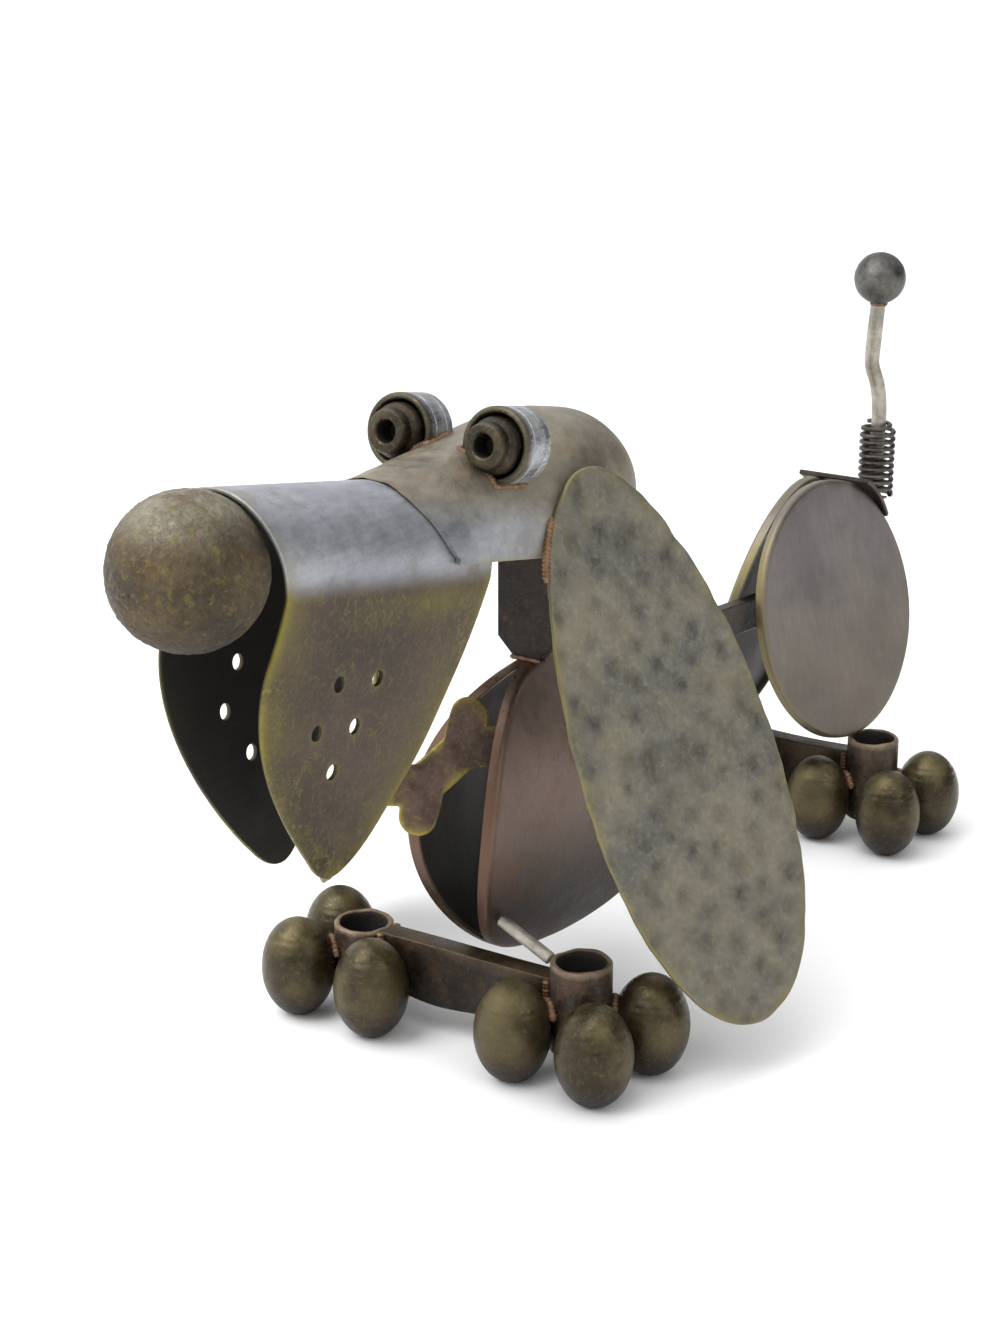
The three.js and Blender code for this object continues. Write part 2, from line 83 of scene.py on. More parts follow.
# Marks: worn edges; a second colour set (a painted highlight on the nose ball, painted shade on the muzzle
# jowls, discs, toes and ear dents); heat tint; painted shade in insides, undersides and recesses.
MARKS = ("edge", "zone", "heat", "soot")
BUMP_HEIGHT = 0.5 * MM
VEIN_SCALE = 105.0
VEIN_WIDTH = 0.035
CREASE = 38.0
ROUND_CREASE = 50.0


class Side(Enum):
    """The dog's own two sides; the value is the sign of X."""

    LEFT = 1
    RIGHT = -1

    @property
    def word(self) -> str:
        """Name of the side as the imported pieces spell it."""
        return self.name.lower()


class Align(Enum):
    """Which face of two boxes is brought together along one axis."""

    LOW = 0
    CENTRE = 1
    HIGH = 2


# ---------------------------------------------------------------- small geometry tools


def smoothstep(low: float, high: float, value: np.ndarray | float) -> np.ndarray | float:
    """Eases from 0 at low to 1 at high.

    Args:
        low: Value where the result is 0.
        high: Value where the result is 1.
        value: Number or array to ease.

    Returns:
        The eased number or array.
    """
    t = np.clip((value - low) / (high - low), 0.0, 1.0)
    return t * t * (3.0 - 2.0 * t)


def waves(points: np.ndarray, size: float, seed: int, count: int = 9) -> np.ndarray:
    """Smooth irregularity made of a few slanting sine waves.

    Args:
        points: N x 3 positions.
        size: Typical distance between two crests, in the unit of points.
        seed: Seed of the wave directions.
        count: Number of waves that are summed.

    Returns:
        N values, mostly between -1 and 1.
    """
    rng = np.random.default_rng(seed)
    total = np.zeros(len(points))
    for _ in range(count):
        direction = rng.normal(size=3)
        direction *= 2.0 * math.pi / (size * rng.uniform(0.7, 1.6) * np.linalg.norm(direction))
        total += np.sin(points @ direction + rng.uniform(0.0, 2.0 * math.pi))
    return total / math.sqrt(count)


def bezier(points: list[tuple[float, float]], count: int) -> np.ndarray:
    """Samples a quadratic or cubic Bezier curve, its last point left out.

    Args:
        points: Three or four control points.
        count: Number of samples.

    Returns:
        count x 2 positions.
    """
    t = np.linspace(0.0, 1.0, count, endpoint=False)[:, None]
    degree = len(points) - 1
    total = np.zeros((count, 2))
    for k, point in enumerate(points):
        total += math.comb(degree, k) * (1 - t) ** (degree - k) * t**k * np.array(point, float)
    return total


def resampled(line: np.ndarray, step: float) -> np.ndarray:
    """Spreads points evenly along a polyline.

    Args:
        line: N x D positions.
        step: Wanted spacing.

    Returns:
        M x D evenly spaced positions, both ends kept.
    """
    run = np.concatenate([[0.0], np.cumsum(np.linalg.norm(np.diff(line, axis=0), axis=1))])
    count = max(2, int(round(run[-1] / step)) + 1)
    where = np.linspace(0.0, run[-1], count)
    return np.stack([np.interp(where, run, line[:, k]) for k in range(line.shape[1])], axis=1)


def basis(origin: Vector, x: Vector, y: Vector, z: Vector) -> Matrix:
    """Matrix of a right-handed set of axes at an origin.

    Args:
        origin: Where the axes stand.
        x: First axis, of length one.
        y: Second axis, of length one.
        z: Third axis, of length one.

    Returns:
        The 4 x 4 matrix from those axes to the outer ones.
    """
    turn = Matrix((x, y, z)).transposed().to_4x4()
    turn.translation = origin
    return turn


def upright(y: float) -> Matrix:
    """Matrix of a drawing plane that stands across the dog at one place: X to the left, Y up."""
    return basis(Vector((0, y, 0)), Vector((1, 0, 0)), Vector((0, 0, 1)), Vector((0, -1, 0)))


def moved(points: np.ndarray, matrix: Matrix) -> np.ndarray:
    """Positions of any array shape, X Y Z last, taken through a 4 x 4 matrix."""
    m = np.array(matrix)
    return points @ m[:3, :3].T + m[:3, 3]


def box_mm(node: str) -> tuple[np.ndarray, np.ndarray]:
    """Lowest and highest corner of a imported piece, in millimetres."""
    low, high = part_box(node)
    return np.array(low) / MM, np.array(high) / MM


def middle(node: str) -> Vector:
    """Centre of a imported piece's box, in millimetres."""
    low, high = box_mm(node)
    return Vector((low + high) / 2)


def seated(points: np.ndarray, node: str,
           how: tuple[Align, Align, Align] = (Align.CENTRE,) * 3) -> np.ndarray:
    """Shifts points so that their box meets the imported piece's box.

    Args:
        points: N x 3 positions in millimetres, already turned.
        node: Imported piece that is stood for.
        how: Which faces are brought together along X, Y and Z.

    Returns:
        The shifted positions.
    """
    low, high = box_mm(node)
    shift = np.zeros(3)
    for axis, align in enumerate(how):
        share = align.value / 2
        mine = points[:, axis].min() * (1 - share) + points[:, axis].max() * share
        shift[axis] = low[axis] * (1 - share) + high[axis] * share - mine
    return points + shift


# ---------------------------------------------------------------- meshes


def linked(name: str, data: bpy.types.ID) -> bpy.types.Object:
    """Makes an object of a mesh, light or camera and links it to the scene."""
    obj = bpy.data.objects.new(name, data)
    bpy.context.scene.collection.objects.link(obj)
    return obj


def mesh_object(
    name: str, points: np.ndarray, faces: list[tuple[int, ...]], sharp: float = CREASE, **marks: np.ndarray
) -> bpy.types.Object:
    """Makes a closed smooth-shaded mesh from positions in millimetres.

    Args:
        name: Name of the object.
        points: N x 3 positions in the row's axes, in millimetres.
        faces: Vertex numbers of each face.
        sharp: Edges that turn by more than this many degrees stay crisp.
        **marks: Wear, tone and painted light and shade marks at each vertex, by the names in MARKS.

    Returns:
        The new object, linked to the scene.
    """
    mesh = bpy.data.meshes.new(name)
    mesh.from_pydata((np.asarray(points) * MM).tolist(), [], faces)
    obj = linked(name, mesh)
    mark(obj, **marks)
    tidy_mesh(mesh, sharp)
    return obj


def tidy_mesh(mesh: bpy.types.Mesh, sharp: float) -> None:
    """Merges doubles, faces the skin outward and sets the shading.

    Args:
        mesh: Mesh that is changed.
        sharp: Edges that turn by more than this many degrees stay crisp.
    """
    work = bmesh.new()
    work.from_mesh(mesh)
    bmesh.ops.remove_doubles(work, verts=work.verts, dist=0.004 * MM)
    bmesh.ops.dissolve_degenerate(work, edges=work.edges, dist=0.002 * MM)
    bmesh.ops.recalc_face_normals(work, faces=work.faces)
    work.to_mesh(mesh)
    work.free()
    mesh.polygons.foreach_set("use_smooth", [True] * len(mesh.polygons))
    mesh.set_sharp_from_angle(angle=math.radians(sharp))
    mesh.update()


def loft(name: str, rings: np.ndarray, sharp: float = CREASE, caps: bool = True,
         **marks: np.ndarray) -> bpy.types.Object:
    """Skins a stack of closed rings and closes both ends.

    Args:
        name: Name of the object.
        rings: R x N x 3 positions in millimetres; a pole is a ring whose points are all alike.
        sharp: Edges that turn by more than this many degrees stay crisp.
        caps: Whether end rings that are no poles get a face.
        **marks: Wear, tone and painted light and shade marks, R x N each, by the names in MARKS.

    Returns:
        The closed mesh object.
    """
    count, size = rings.shape[0], rings.shape[1]
    faces = []
    for i in range(count - 1):
        for j in range(size):
            k = (j + 1) % size
            faces.append((i * size + j, i * size + k, (i + 1) * size + k, (i + 1) * size + j))
    for i in (0, count - 1):
        if caps and np.ptp(rings[i], axis=0).max() > 0.01:
            faces.append(tuple(range(i * size, (i + 1) * size)))
    flat = {key: np.asarray(value).ravel() for key, value in marks.items()}
    return mesh_object(name, rings.reshape(-1, 3), faces, sharp, **flat)


def turned(profile: list[tuple[float, float]], sides: int) -> np.ndarray:
    """Rings of a shape turned about Z.

    Args:
        profile: (radius, height) pairs from one pole to the other, or a closed loop.
        sides: Points in each ring.

    Returns:
        R x sides x 3 positions.
    """
    turn = np.linspace(0.0, 2.0 * math.pi, sides, endpoint=False)
    x, y = np.cos(turn), np.sin(turn)
    return np.array([np.stack([r * x, r * y, np.full(sides, z)], axis=1) for r, z in profile])


def swept(line: np.ndarray, radius: float | np.ndarray, sides: int = 20) -> np.ndarray:
    """Rings of a round bar along a line, ending in small chamfers.

    Args:
        line: N x 3 positions of the centre line.
        radius: One radius, or one for each position.
        sides: Points in each ring.

    Returns:
        Rings from one end's pole to the other's.
    """
    radii = np.broadcast_to(radius, (len(line),)).astype(float)
    tangents = np.gradient(line, axis=0)
    tangents /= np.linalg.norm(tangents, axis=1)[:, None]
    side = np.cross(tangents[0], (0.36, 0.48, 0.8))
    turn = np.linspace(0.0, 2.0 * math.pi, sides, endpoint=False)
    rings = []
    for centre, tangent, r in zip(line, tangents, radii):
        side = side - tangent * (side @ tangent)
        side /= np.linalg.norm(side)
        other = np.cross(tangent, side)
        rings.append(centre + r * (np.cos(turn)[:, None] * side + np.sin(turn)[:, None] * other))
    rings = np.array(rings)
    chamfer = 0.12

    def end(ring: np.ndarray, centre: np.ndarray, outward: np.ndarray, r: float) -> list[np.ndarray]:
        """Chamfer ring and pole at one end of the bar."""
        lip = centre + (ring - centre) * (1 - chamfer)
        back = ring - outward * r * chamfer
        return [back, lip, np.repeat(centre[None], sides, axis=0)]

    first = end(rings[0], line[0], -tangents[0], radii[0])[::-1]
    last = end(rings[-1], line[-1], tangents[-1], radii[-1])
    return np.concatenate([first, rings[1:-1], last])


def plate(outline: np.ndarray, thickness: float, steps: int = 26) -> np.ndarray:
    """Rings of a flat plate with a rounded edge, from its front middle round to its back middle.

    Args:
        outline: N x 2 positions of the edge, seen from the front.
        thickness: Plate thickness.
        steps: Rings on each face.

    Returns:
        Rings x N x 3, the plate lying in the first two axes, its front at +thickness / 2.
    """
    half = thickness / 2
    heart = outline.mean(axis=0)
    reach = np.linalg.norm(outline - heart, axis=1)
    inset = (reach - half)[:, None] / reach[:, None]
    rings = []
    for share in np.linspace(0.0, 1.0, steps) ** 0.8:
        rings.append(np.c_[heart + (outline - heart) * inset * share, np.full(len(outline), half)])
    for turn in np.linspace(0.0, math.pi, 7)[1:-1]:
        grow = 1.0 - (1.0 - inset) * (1.0 - math.sin(turn))
        rings.append(np.c_[heart + (outline - heart) * grow, np.full(len(outline), half * math.cos(turn))])
    for share in np.linspace(1.0, 0.0, steps) ** 0.8:
        rings.append(np.c_[heart + (outline - heart) * inset * share, np.full(len(outline), -half)])
    return np.array(rings)


def prism(name: str, outline: np.ndarray, thickness: float, place: Matrix, bevel: float) -> bpy.types.Object:
    """A flat outline pushed through along its third axis, its edges eased.

    Args:
        name: Name of the object.
        outline: N x 2 corners.
        thickness: Length of the push, centred on the outline's plane.
        place: Matrix from the outline's axes to the row's, in millimetres.
        bevel: Width of the eased edges.

    Returns:
        The mesh object.
    """
    size = len(outline)
    front = np.c_[outline, np.full(size, thickness / 2)]
    back = np.c_[outline, np.full(size, -thickness / 2)]
    faces = [tuple(range(size)), tuple(range(2 * size - 1, size - 1, -1))]
    faces += [(j, size + j, size + (j + 1) % size, (j + 1) % size) for j in range(size)]
    obj = mesh_object(name, moved(np.concatenate([front, back]), place), faces)
    ease = obj.modifiers.new("eased edges", "BEVEL")
    ease.width = bevel * MM
    ease.segments = 3
    ease.limit_method = "ANGLE"
    ease.angle_limit = math.radians(40)
    return plain(obj)


def plain(obj: bpy.types.Object) -> bpy.types.Object:
    """Turns an object with modifiers into a plain mesh.

    Args:
        obj: Object whose modifiers are applied and removed.

    Returns:
        The same object.
    """
    graph = bpy.context.evaluated_depsgraph_get()
    mesh = bpy.data.meshes.new_from_object(obj.evaluated_get(graph))
    mesh.name = obj.name
    obj.modifiers.clear()
    obj.data = mesh
    return obj


def cut(obj: bpy.types.Object, cutters: list[bpy.types.Object], sharp: float = CREASE) -> bpy.types.Object:
    """Cuts bodies out of an object and removes them.

    Args:
        obj: Object that is cut.
        cutters: Closed meshes.
        sharp: Edges that turn by more than this many degrees stay crisp.

    Returns:
        The same object with the cuts in its mesh.
    """
    for cutter in cutters:
        step = obj.modifiers.new("cut", "BOOLEAN")
        step.operation = "DIFFERENCE"
        step.solver = "EXACT"
        step.object = cutter
    plain(obj)
    for cutter in cutters:
        bpy.data.objects.remove(cutter)
    tidy_mesh(obj.data, sharp)
    return obj


def positions(obj: bpy.types.Object) -> np.ndarray:
    """Vertex positions of an object, in millimetres."""
    flat = np.zeros(len(obj.data.vertices) * 3)
    obj.data.vertices.foreach_get("co", flat)
    return flat.reshape(-1, 3) / MM


def mark(obj: bpy.types.Object, **values: np.ndarray | float) -> None:
    """Writes the wear, tone and painted light and shade marks that the finishes read, 0 to 1 at each vertex.

    Args:
        obj: Object that is marked.
        **values: Arrays or numbers by the names in MARKS; a mark that isn't given keeps its value, or is 0.
    """
    count = len(obj.data.vertices)
    for name in MARKS:
        layer = obj.data.attributes.get(name)
        if layer is None:
            layer = obj.data.attributes.new(name, "FLOAT", "POINT")
        elif name not in values:
            continue
        value = np.broadcast_to(values.get(name, 0.0), (count,))
        layer.data.foreach_set("value", np.clip(value, 0.0, 1.0).astype(np.float32))


# ---------------------------------------------------------------- finishes


def linear(code: str) -> tuple[float, float, float, float]:
    """Colour for a shader socket from a six-digit code such as "7b7468"."""
    parts = [int(code[k : k + 2], 16) / 255 for k in (0, 2, 4)]
    return (*[p / 12.92 if p <= 0.04045 else ((p + 0.055) / 1.055) ** 2.4 for p in parts], 1.0)


class Wiring:
    """Adds nodes to one tree and joins them."""

    def __init__(self, tree: bpy.types.NodeTree) -> None:
        """Keeps the tree that nodes go into."""
        self.tree = tree
        self.column = 0

    def node(self, kind: str, feeds: dict[str | int, object] | None = None,
             **settings: object) -> bpy.types.Node:
        """Adds a node, sets its properties and feeds its inputs.

        Args:
            kind: Node type.
            feeds: Numbers, colours or output sockets by input name or place.
            **settings: Properties by name.

        Returns:
            The new node.
        """
        made = self.tree.nodes.new(kind)
        made.location = (self.column * 180, -(self.column % 5) * 160)
        self.column += 1
        for key, value in settings.items():
            setattr(made, key, value)
        for key, value in (feeds or {}).items():
            self.feed(made.inputs[key], value)
        return made

    def feed(self, socket: bpy.types.NodeSocket, value: object) -> None:
        """Sets a socket to a number or colour, or joins it to another socket.

        Args:
            socket: Input that is fed.
            value: Number, colour or output socket.
        """
        if isinstance(value, bpy.types.NodeSocket):
            self.tree.links.new(value, socket)
        else:
            socket.default_value = value

    def math(self, operation: str, a: object, b: object = 0.0, c: object = 0.0) -> bpy.types.NodeSocket:
        """Joins up a Math node, its result held to 0..1 only by its own operation.

        Args:
            operation: Name of the operation.
            a: First number or socket.
            b: Second number or socket.
            c: Third number or socket.

        Returns:
            The result's socket.
        """
        return self.node("ShaderNodeMath", {0: a, 1: b, 2: c}, operation=operation).outputs[0]

    def mix(self, share: object, a: object, b: object, blend: str = "MIX") -> bpy.types.NodeSocket:
        """Mixes two colours.

        Args:
            share: How much of b is taken, 0 to 1.
            a: First colour or socket.
            b: Second colour or socket.
            blend: Blend mode.

        Returns:
            The mixed colour's socket.
        """
        made = self.node("ShaderNodeMix", data_type="RGBA", blend_type=blend, clamp_factor=True)
        for place, value in ((0, share), (6, a), (7, b)):
            self.feed(made.inputs[place], value)
        return made.outputs[2]

    def spread(
        self, value: object, low: float, high: object, to_low: object = 0.0, to_high: object = 1.0
    ) -> bpy.types.NodeSocket:
        """Eases a value from one range to another.

        Args:
            value: Socket that is read.
            low: Start of the range that is read.
            high: End of the range that is read.
            to_low: Result at low.
            to_high: Result at high.

        Returns:
            The result's socket.
        """
        feeds = dict(enumerate((value, low, high, to_low, to_high)))
        return self.node("ShaderNodeMapRange", feeds, interpolation_type="SMOOTHSTEP").outputs[0]

    def noise(self, vector: object, scale: object, detail: float = 5.0,
              rough: float = 0.55) -> bpy.types.NodeSocket:
        """Adds a noise texture.

        Args:
            vector: Socket with the position.
            scale: Scale in one over metres, or a socket.
            detail: Number of octaves.
            rough: Share of the finer octaves.

        Returns:
            The noise value's socket.
        """
        feeds = {"Vector": vector, "Scale": scale, "Detail": detail, "Roughness": rough}
        return self.node("ShaderNodeTexNoise", feeds, noise_dimensions="3D").outputs[0]


def group_with(
    name: str, inputs: dict[str, str], outputs: dict[str, str]
) -> tuple[bpy.types.NodeTree, Wiring]:
    """Starts a shader node group.

    Args:
        name: Name of the group.
        inputs: Socket names and types.
        outputs: Socket names and types.

    Returns:
        The group's tree and a wiring helper for it.
    """
    tree = bpy.data.node_groups.new(name, "ShaderNodeTree")
    for label, kind in inputs.items():
        tree.interface.new_socket(name=label, in_out="INPUT", socket_type=kind)
    for label, kind in outputs.items():
        tree.interface.new_socket(name=label, in_out="OUTPUT", socket_type=kind)
    return tree, Wiring(tree)


def patina_group() -> bpy.types.NodeTree:
    """Masks of old oiled steel: broad mottle, rust clouds, specks, brushed grain and thin veins."""
    tree, wire = group_with(
        "oiled_steel_patina",
        {"Position": "NodeSocketVector", "Mottle Scale": "NodeSocketFloat", "Speck Scale": "NodeSocketFloat",
         "Brush": "NodeSocketVector"},
        {name: "NodeSocketFloat" for name in ("Mottle", "Cloud", "Speck", "Grain", "Vein")},
    )
    source = wire.node("NodeGroupInput")
    position, mottle_scale, speck_scale, brush = source.outputs[:4]
    mottle = wire.spread(wire.noise(position, mottle_scale, 6.0, 0.6), 0.36, 0.64)
    cloud_scale = wire.math("MULTIPLY", mottle_scale, 2.6)
    cloud = wire.spread(wire.noise(position, cloud_scale, 8.0, 0.68), 0.5, 0.68)
    speck = wire.spread(wire.noise(position, speck_scale, 4.0, 0.62), 0.54, 0.66)
    stretch = wire.node("ShaderNodeVectorMath", {0: position, 1: brush}, operation="MULTIPLY")
    grain = wire.noise(stretch.outputs[0], 1.0, 3.0, 0.6)
    ridge = wire.math("ABSOLUTE", wire.math("SUBTRACT", wire.noise(position, VEIN_SCALE, 3.0, 0.6), 0.5))
    vein = wire.spread(ridge, 0.0, VEIN_WIDTH, 1.0, 0.0)
    wire.node("NodeGroupOutput", dict(enumerate((mottle, cloud, speck, grain, vein))))
    return tree


def relief_group() -> bpy.types.NodeTree:
    """Height of a steel skin: brushed grain, fine pits and dents."""
    tree, wire = group_with(
        "steel_skin_relief",
        {"Position": "NodeSocketVector", "Grain": "NodeSocketFloat", "Grain Depth": "NodeSocketFloat",
         "Pit Scale": "NodeSocketFloat", "Pit Depth": "NodeSocketFloat"},
        {"Height": "NodeSocketFloat"},
    )
    source = wire.node("NodeGroupInput")
    position, grain, grain_depth, pit_scale, pit_depth = source.outputs[:5]
    pits = wire.spread(wire.noise(position, pit_scale, 5.0, 0.7), 0.42, 0.6, 1.0, 0.0)
    low = wire.math("MULTIPLY", pits, wire.math("MULTIPLY", pit_depth, -1.0))
    height = wire.math("MULTIPLY_ADD", grain, grain_depth, low)
    wire.node("NodeGroupOutput", {0: height})
    return tree


@dataclass(frozen=True)
class SteelFinish:
    """Colours and skin of one kind of scrap steel."""

    name: str
    dark: str
    light: str
    # Second colour set, picked by the zone mark; on several pieces it carries painted light and shade, as
    # noted at each finish.
    zone_dark: str
    zone_light: str
    rim: str = "8c8430"
    rust: str = "6e4526"
    rust_share: float = 0.35
    speck: str = "a39a4a"
    speck_share: float = 0.2
    vein_share: float = 0.0
    streak: float = 0.8
    heat: str = "a8653a"
    # Colour of the painted shade in insides, undersides and recesses.
    soot: str = "16130f"
    metallic: float = 0.72
    rough: float = 0.42
    rough_spread: float = 0.2
    mottle_scale: float = 28.0
    speck_scale: float = 420.0
    brush: tuple[float, float, float] = (300.0, 300.0, 300.0)
    grain_depth: float = 0.3
    pit_scale: float = 350.0
    pit_depth: float = 0.6
    bump: float = 0.35

    def build(self, patina: bpy.types.NodeTree, relief: bpy.types.NodeTree) -> bpy.types.Material:
        """Makes the material.

        Args:
            patina: Group with the shared masks.
            relief: Group with the shared height.

        Returns:
            The finished material.
        """
        material = bpy.data.materials.new(self.name)
        material.use_nodes = True
        tree = material.node_tree
        tree.nodes.clear()
        wire = Wiring(tree)
        position = wire.node("ShaderNodeTexCoord").outputs["Object"]
        masks = wire.node("ShaderNodeGroup", node_tree=patina)
        for name, value in (("Position", position), ("Mottle Scale", self.mottle_scale),
                            ("Speck Scale", self.speck_scale), ("Brush", self.brush)):
            wire.feed(masks.inputs[name], value)
        mottle, cloud, speck, grain, vein = masks.outputs[:5]
        edge, zone, heat, soot = [
            wire.node("ShaderNodeAttribute", attribute_name=name).outputs["Fac"] for name in MARKS]

        plain_part = wire.mix(mottle, linear(self.dark), linear(self.light))
        zone_part = wire.mix(mottle, linear(self.zone_dark), linear(self.zone_light))
        # Second colour set: a painted highlight on top of the nose ball, painted shade on the muzzle jowls,
        # lower discs, lower toes and ear dents; elsewhere a real second tone.
        colour = wire.mix(zone, plain_part, zone_part)
        streak = wire.spread(grain, 0.3, 0.7, 0.78, 1.2)
        tone = wire.node("ShaderNodeCombineColor", dict.fromkeys(range(3), streak))
        colour = wire.mix(self.streak, colour, tone.outputs[0], "MULTIPLY")
        rusty = wire.math("MULTIPLY", cloud, self.rust_share)
        colour = wire.mix(rusty, colour, linear(self.rust))
        veined = wire.math("MULTIPLY", wire.math("MULTIPLY", vein, wire.spread(cloud, 0.0, 0.8, 0.35, 1.0)),
                           wire.math("MULTIPLY_ADD", edge, 1.5, zone))
        flecks = wire.math("MAXIMUM", wire.math("MULTIPLY", speck, self.speck_share),
                           wire.math("MULTIPLY", veined, self.vein_share))
        colour = wire.mix(flecks, colour, linear(self.speck))
        worn = wire.math("MULTIPLY", edge, wire.spread(wire.math("ADD", speck, mottle), 0.1, 1.1, 0.35, 1.0))
        colour = wire.mix(worn, colour, linear(self.rim))
        burnt = wire.math("MULTIPLY", heat, wire.spread(mottle, 0.0, 1.0, 0.45, 1.0))
        colour = wire.mix(burnt, colour, linear(self.heat))
        # Painted shade: insides, undersides and recesses are darkened toward one near-black colour.
        colour = wire.mix(wire.math("MULTIPLY", soot, 0.92), colour, linear(self.soot))

        height = wire.node("ShaderNodeGroup", node_tree=relief)
        for name, value in (("Position", position), ("Grain", grain), ("Grain Depth", self.grain_depth),
                            ("Pit Scale", self.pit_scale), ("Pit Depth", self.pit_depth)):
            wire.feed(height.inputs[name], value)
        bump = wire.node("ShaderNodeBump",
                         {"Strength": self.bump, "Distance": BUMP_HEIGHT, "Height": height.outputs[0]})

        shader = wire.node("ShaderNodeBsdfPrincipled")
        wire.feed(shader.inputs["Base Color"], colour)
        dull = wire.math("MAXIMUM", rusty, wire.math("MAXIMUM", burnt, soot))
        wire.feed(shader.inputs["Metallic"], wire.spread(dull, 0.0, 1.0, self.metallic, self.metallic * 0.25))
        rough = wire.spread(wire.math("ADD", mottle, grain), 0.2, 1.5, self.rough - self.rough_spread / 2,
                            self.rough + self.rough_spread / 2)
        wire.feed(shader.inputs["Roughness"], wire.math("MULTIPLY_ADD", dull, 0.3, rough))
        wire.feed(shader.inputs["Normal"], bump.outputs["Normal"])
        wire.node("ShaderNodeOutputMaterial", {"Surface": shader.outputs["BSDF"]})
        return material


FINISHES = {
    # Zone colours: a lighter painted highlight on the top of the ball.
    "nose_steel": SteelFinish(
        "rusty_nose_ball", "352c1d", "584b35", "696250", "8c8675", rust="54381c", rust_share=0.5,
        speck="857530", speck_share=0.32, metallic=0.45, rough=0.5, mottle_scale=34, speck_scale=260,
        pit_scale=380, pit_depth=1.3, bump=0.55),
    # Roof colours: the sheet's silver-blue painted highlight; zone colours: the same sheet in painted shade
    # on the hanging jowls.
    "muzzle_steel": SteelFinish(
        "folded_muzzle_sheet", "8a8d94", "a8aab0", "33271f", "4d3f38", rim="7d742c", rust="54452e",
        rust_share=0.3, speck="79713a", speck_share=0.2, vein_share=0.42, streak=0.35, heat="a3764f",
        metallic=0.62, rough=0.38, mottle_scale=16, speck_scale=330, brush=(420, 30, 420), grain_depth=0.2,
        pit_depth=0.3),
    "cap_steel": SteelFinish(
        "domed_cap_sheet", "6f675a", "918979", "82868c", "a2a4a8", rust="85623c", rust_share=0.25,
        heat="a06234", speck="8a8050", speck_share=0.15, streak=0.5, metallic=0.58, rough=0.42,
        mottle_scale=22, brush=(260, 120, 160), pit_depth=0.5),
    "pale_tube": SteelFinish(
        "bright_eye_tube", "8b8d8f", "b6b8ba", "37322b", "4f493d", rim="625c48", rust_share=0.15,
        speck_share=0.08, metallic=0.8, rough=0.3, mottle_scale=60, brush=(500, 60, 500), grain_depth=0.4),
    "gunmetal": SteelFinish(
        "gunmetal_eye_bush", "221f1b", "3e372e", "2c2822", "4b4437", rim="58513a", rust_share=0.2,
        speck_share=0.08, metallic=0.8, rough=0.34, mottle_scale=70, brush=(200, 900, 200), grain_depth=0.3),
    # Plain colours show in the hammer dents as painted shade; zone colours are the raised steel between them.
    "ear_steel": SteelFinish(
        "hammered_ear_plate", "5c5a52", "706c60", "696761", "817c6c", rim="857a44", rust="6e6344",
        rust_share=0.3, speck="968d62", speck_share=0.2, streak=0.4, metallic=0.62, rough=0.4,
        mottle_scale=30, speck_scale=300, pit_depth=0.5, bump=0.4),
    "dark_bar": SteelFinish(
        "mill_scale_bar", "1c1917", "332d28", "33291f", "493a2e", rim="5f513c", rust_share=0.22,
        speck_share=0.05, metallic=0.6, rough=0.42, mottle_scale=40, pit_depth=0.6),
    "dark_tube": SteelFinish(
        "oiled_ankle_pipe", "3a3029", "5f5146", "705e50", "8a786a", rim="8a7a5a", rust_share=0.4,
        speck_share=0.08, metallic=0.55, rough=0.45, mottle_scale=60, pit_depth=0.8),
    # Zone colours: painted shade on the lower part of the disc.
    "chest_steel": SteelFinish(
        "bowed_chest_plate", "806c60", "968276", "1f1a18", "382e29", rim="5e4636", rust="765138",
        rust_share=0.3, speck_share=0.05, streak=0.3, metallic=0.66, rough=0.38, mottle_scale=13,
        brush=(220, 220, 22), grain_depth=0.25, pit_depth=0.25),
    # Zone colours: painted shade, slightly darker and browner, on the lower part of the disc.
    "haunch_steel": SteelFinish(
        "brushed_haunch_plate", "6c6666", "86807c", "5c554e", "786f64", rim="776e4b", rust="7a6750",
        rust_share=0.2, speck_share=0.04, streak=0.35, metallic=0.66, rough=0.38, mottle_scale=12,
        brush=(260, 260, 16), grain_depth=0.3, pit_depth=0.2),
    # Zone colours: painted shade on the lower half of the toe; the last dark colour: painted shade at its
    # foot.
    "toe_steel": SteelFinish(
        "turned_toe_knob", "342c1e", "564c33", "1f1814", "2e251e", rim="766b42", rust="4b3a24",
        rust_share=0.4, speck="7d7436", speck_share=0.18, soot="1b1512", streak=0.35, metallic=0.6,
        rough=0.34, mottle_scale=40, brush=(60, 60, 500), grain_depth=0.2, pit_depth=0.3),
    "tag_steel": SteelFinish(
        "bone_tag_plate", "43332c", "5f4d43", "4c3b33", "665349", rim="a5973c", rust="6a5238",
        rust_share=0.3, speck="8d8238", speck_share=0.2, vein_share=0.45, metallic=0.5, rough=0.46,
        mottle_scale=50, speck_scale=380),
    "pale_rod": SteelFinish(
        "zinc_pale_rod", "88837a", "b4aea2", "a09a8d", "beb7a8", rust_share=0.22, speck_share=0.05,
        streak=0.4, metallic=0.65, rough=0.36, mottle_scale=60, brush=(60, 60, 400)),
    "spring_wire": SteelFinish(
        "dark_spring_wire", "3a3733", "5e5a54", "4a4640", "6a655c", rust_share=0.2, speck_share=0.05,
        metallic=0.8, rough=0.34, mottle_scale=90),
    "tail_ball_steel": SteelFinish(
        "grey_tail_ball", "454442", "686662", "3a3936", "54524e", rust_share=0.12, speck_share=0.08,
        metallic=0.75, rough=0.34, mottle_scale=50, pit_depth=0.4),
}
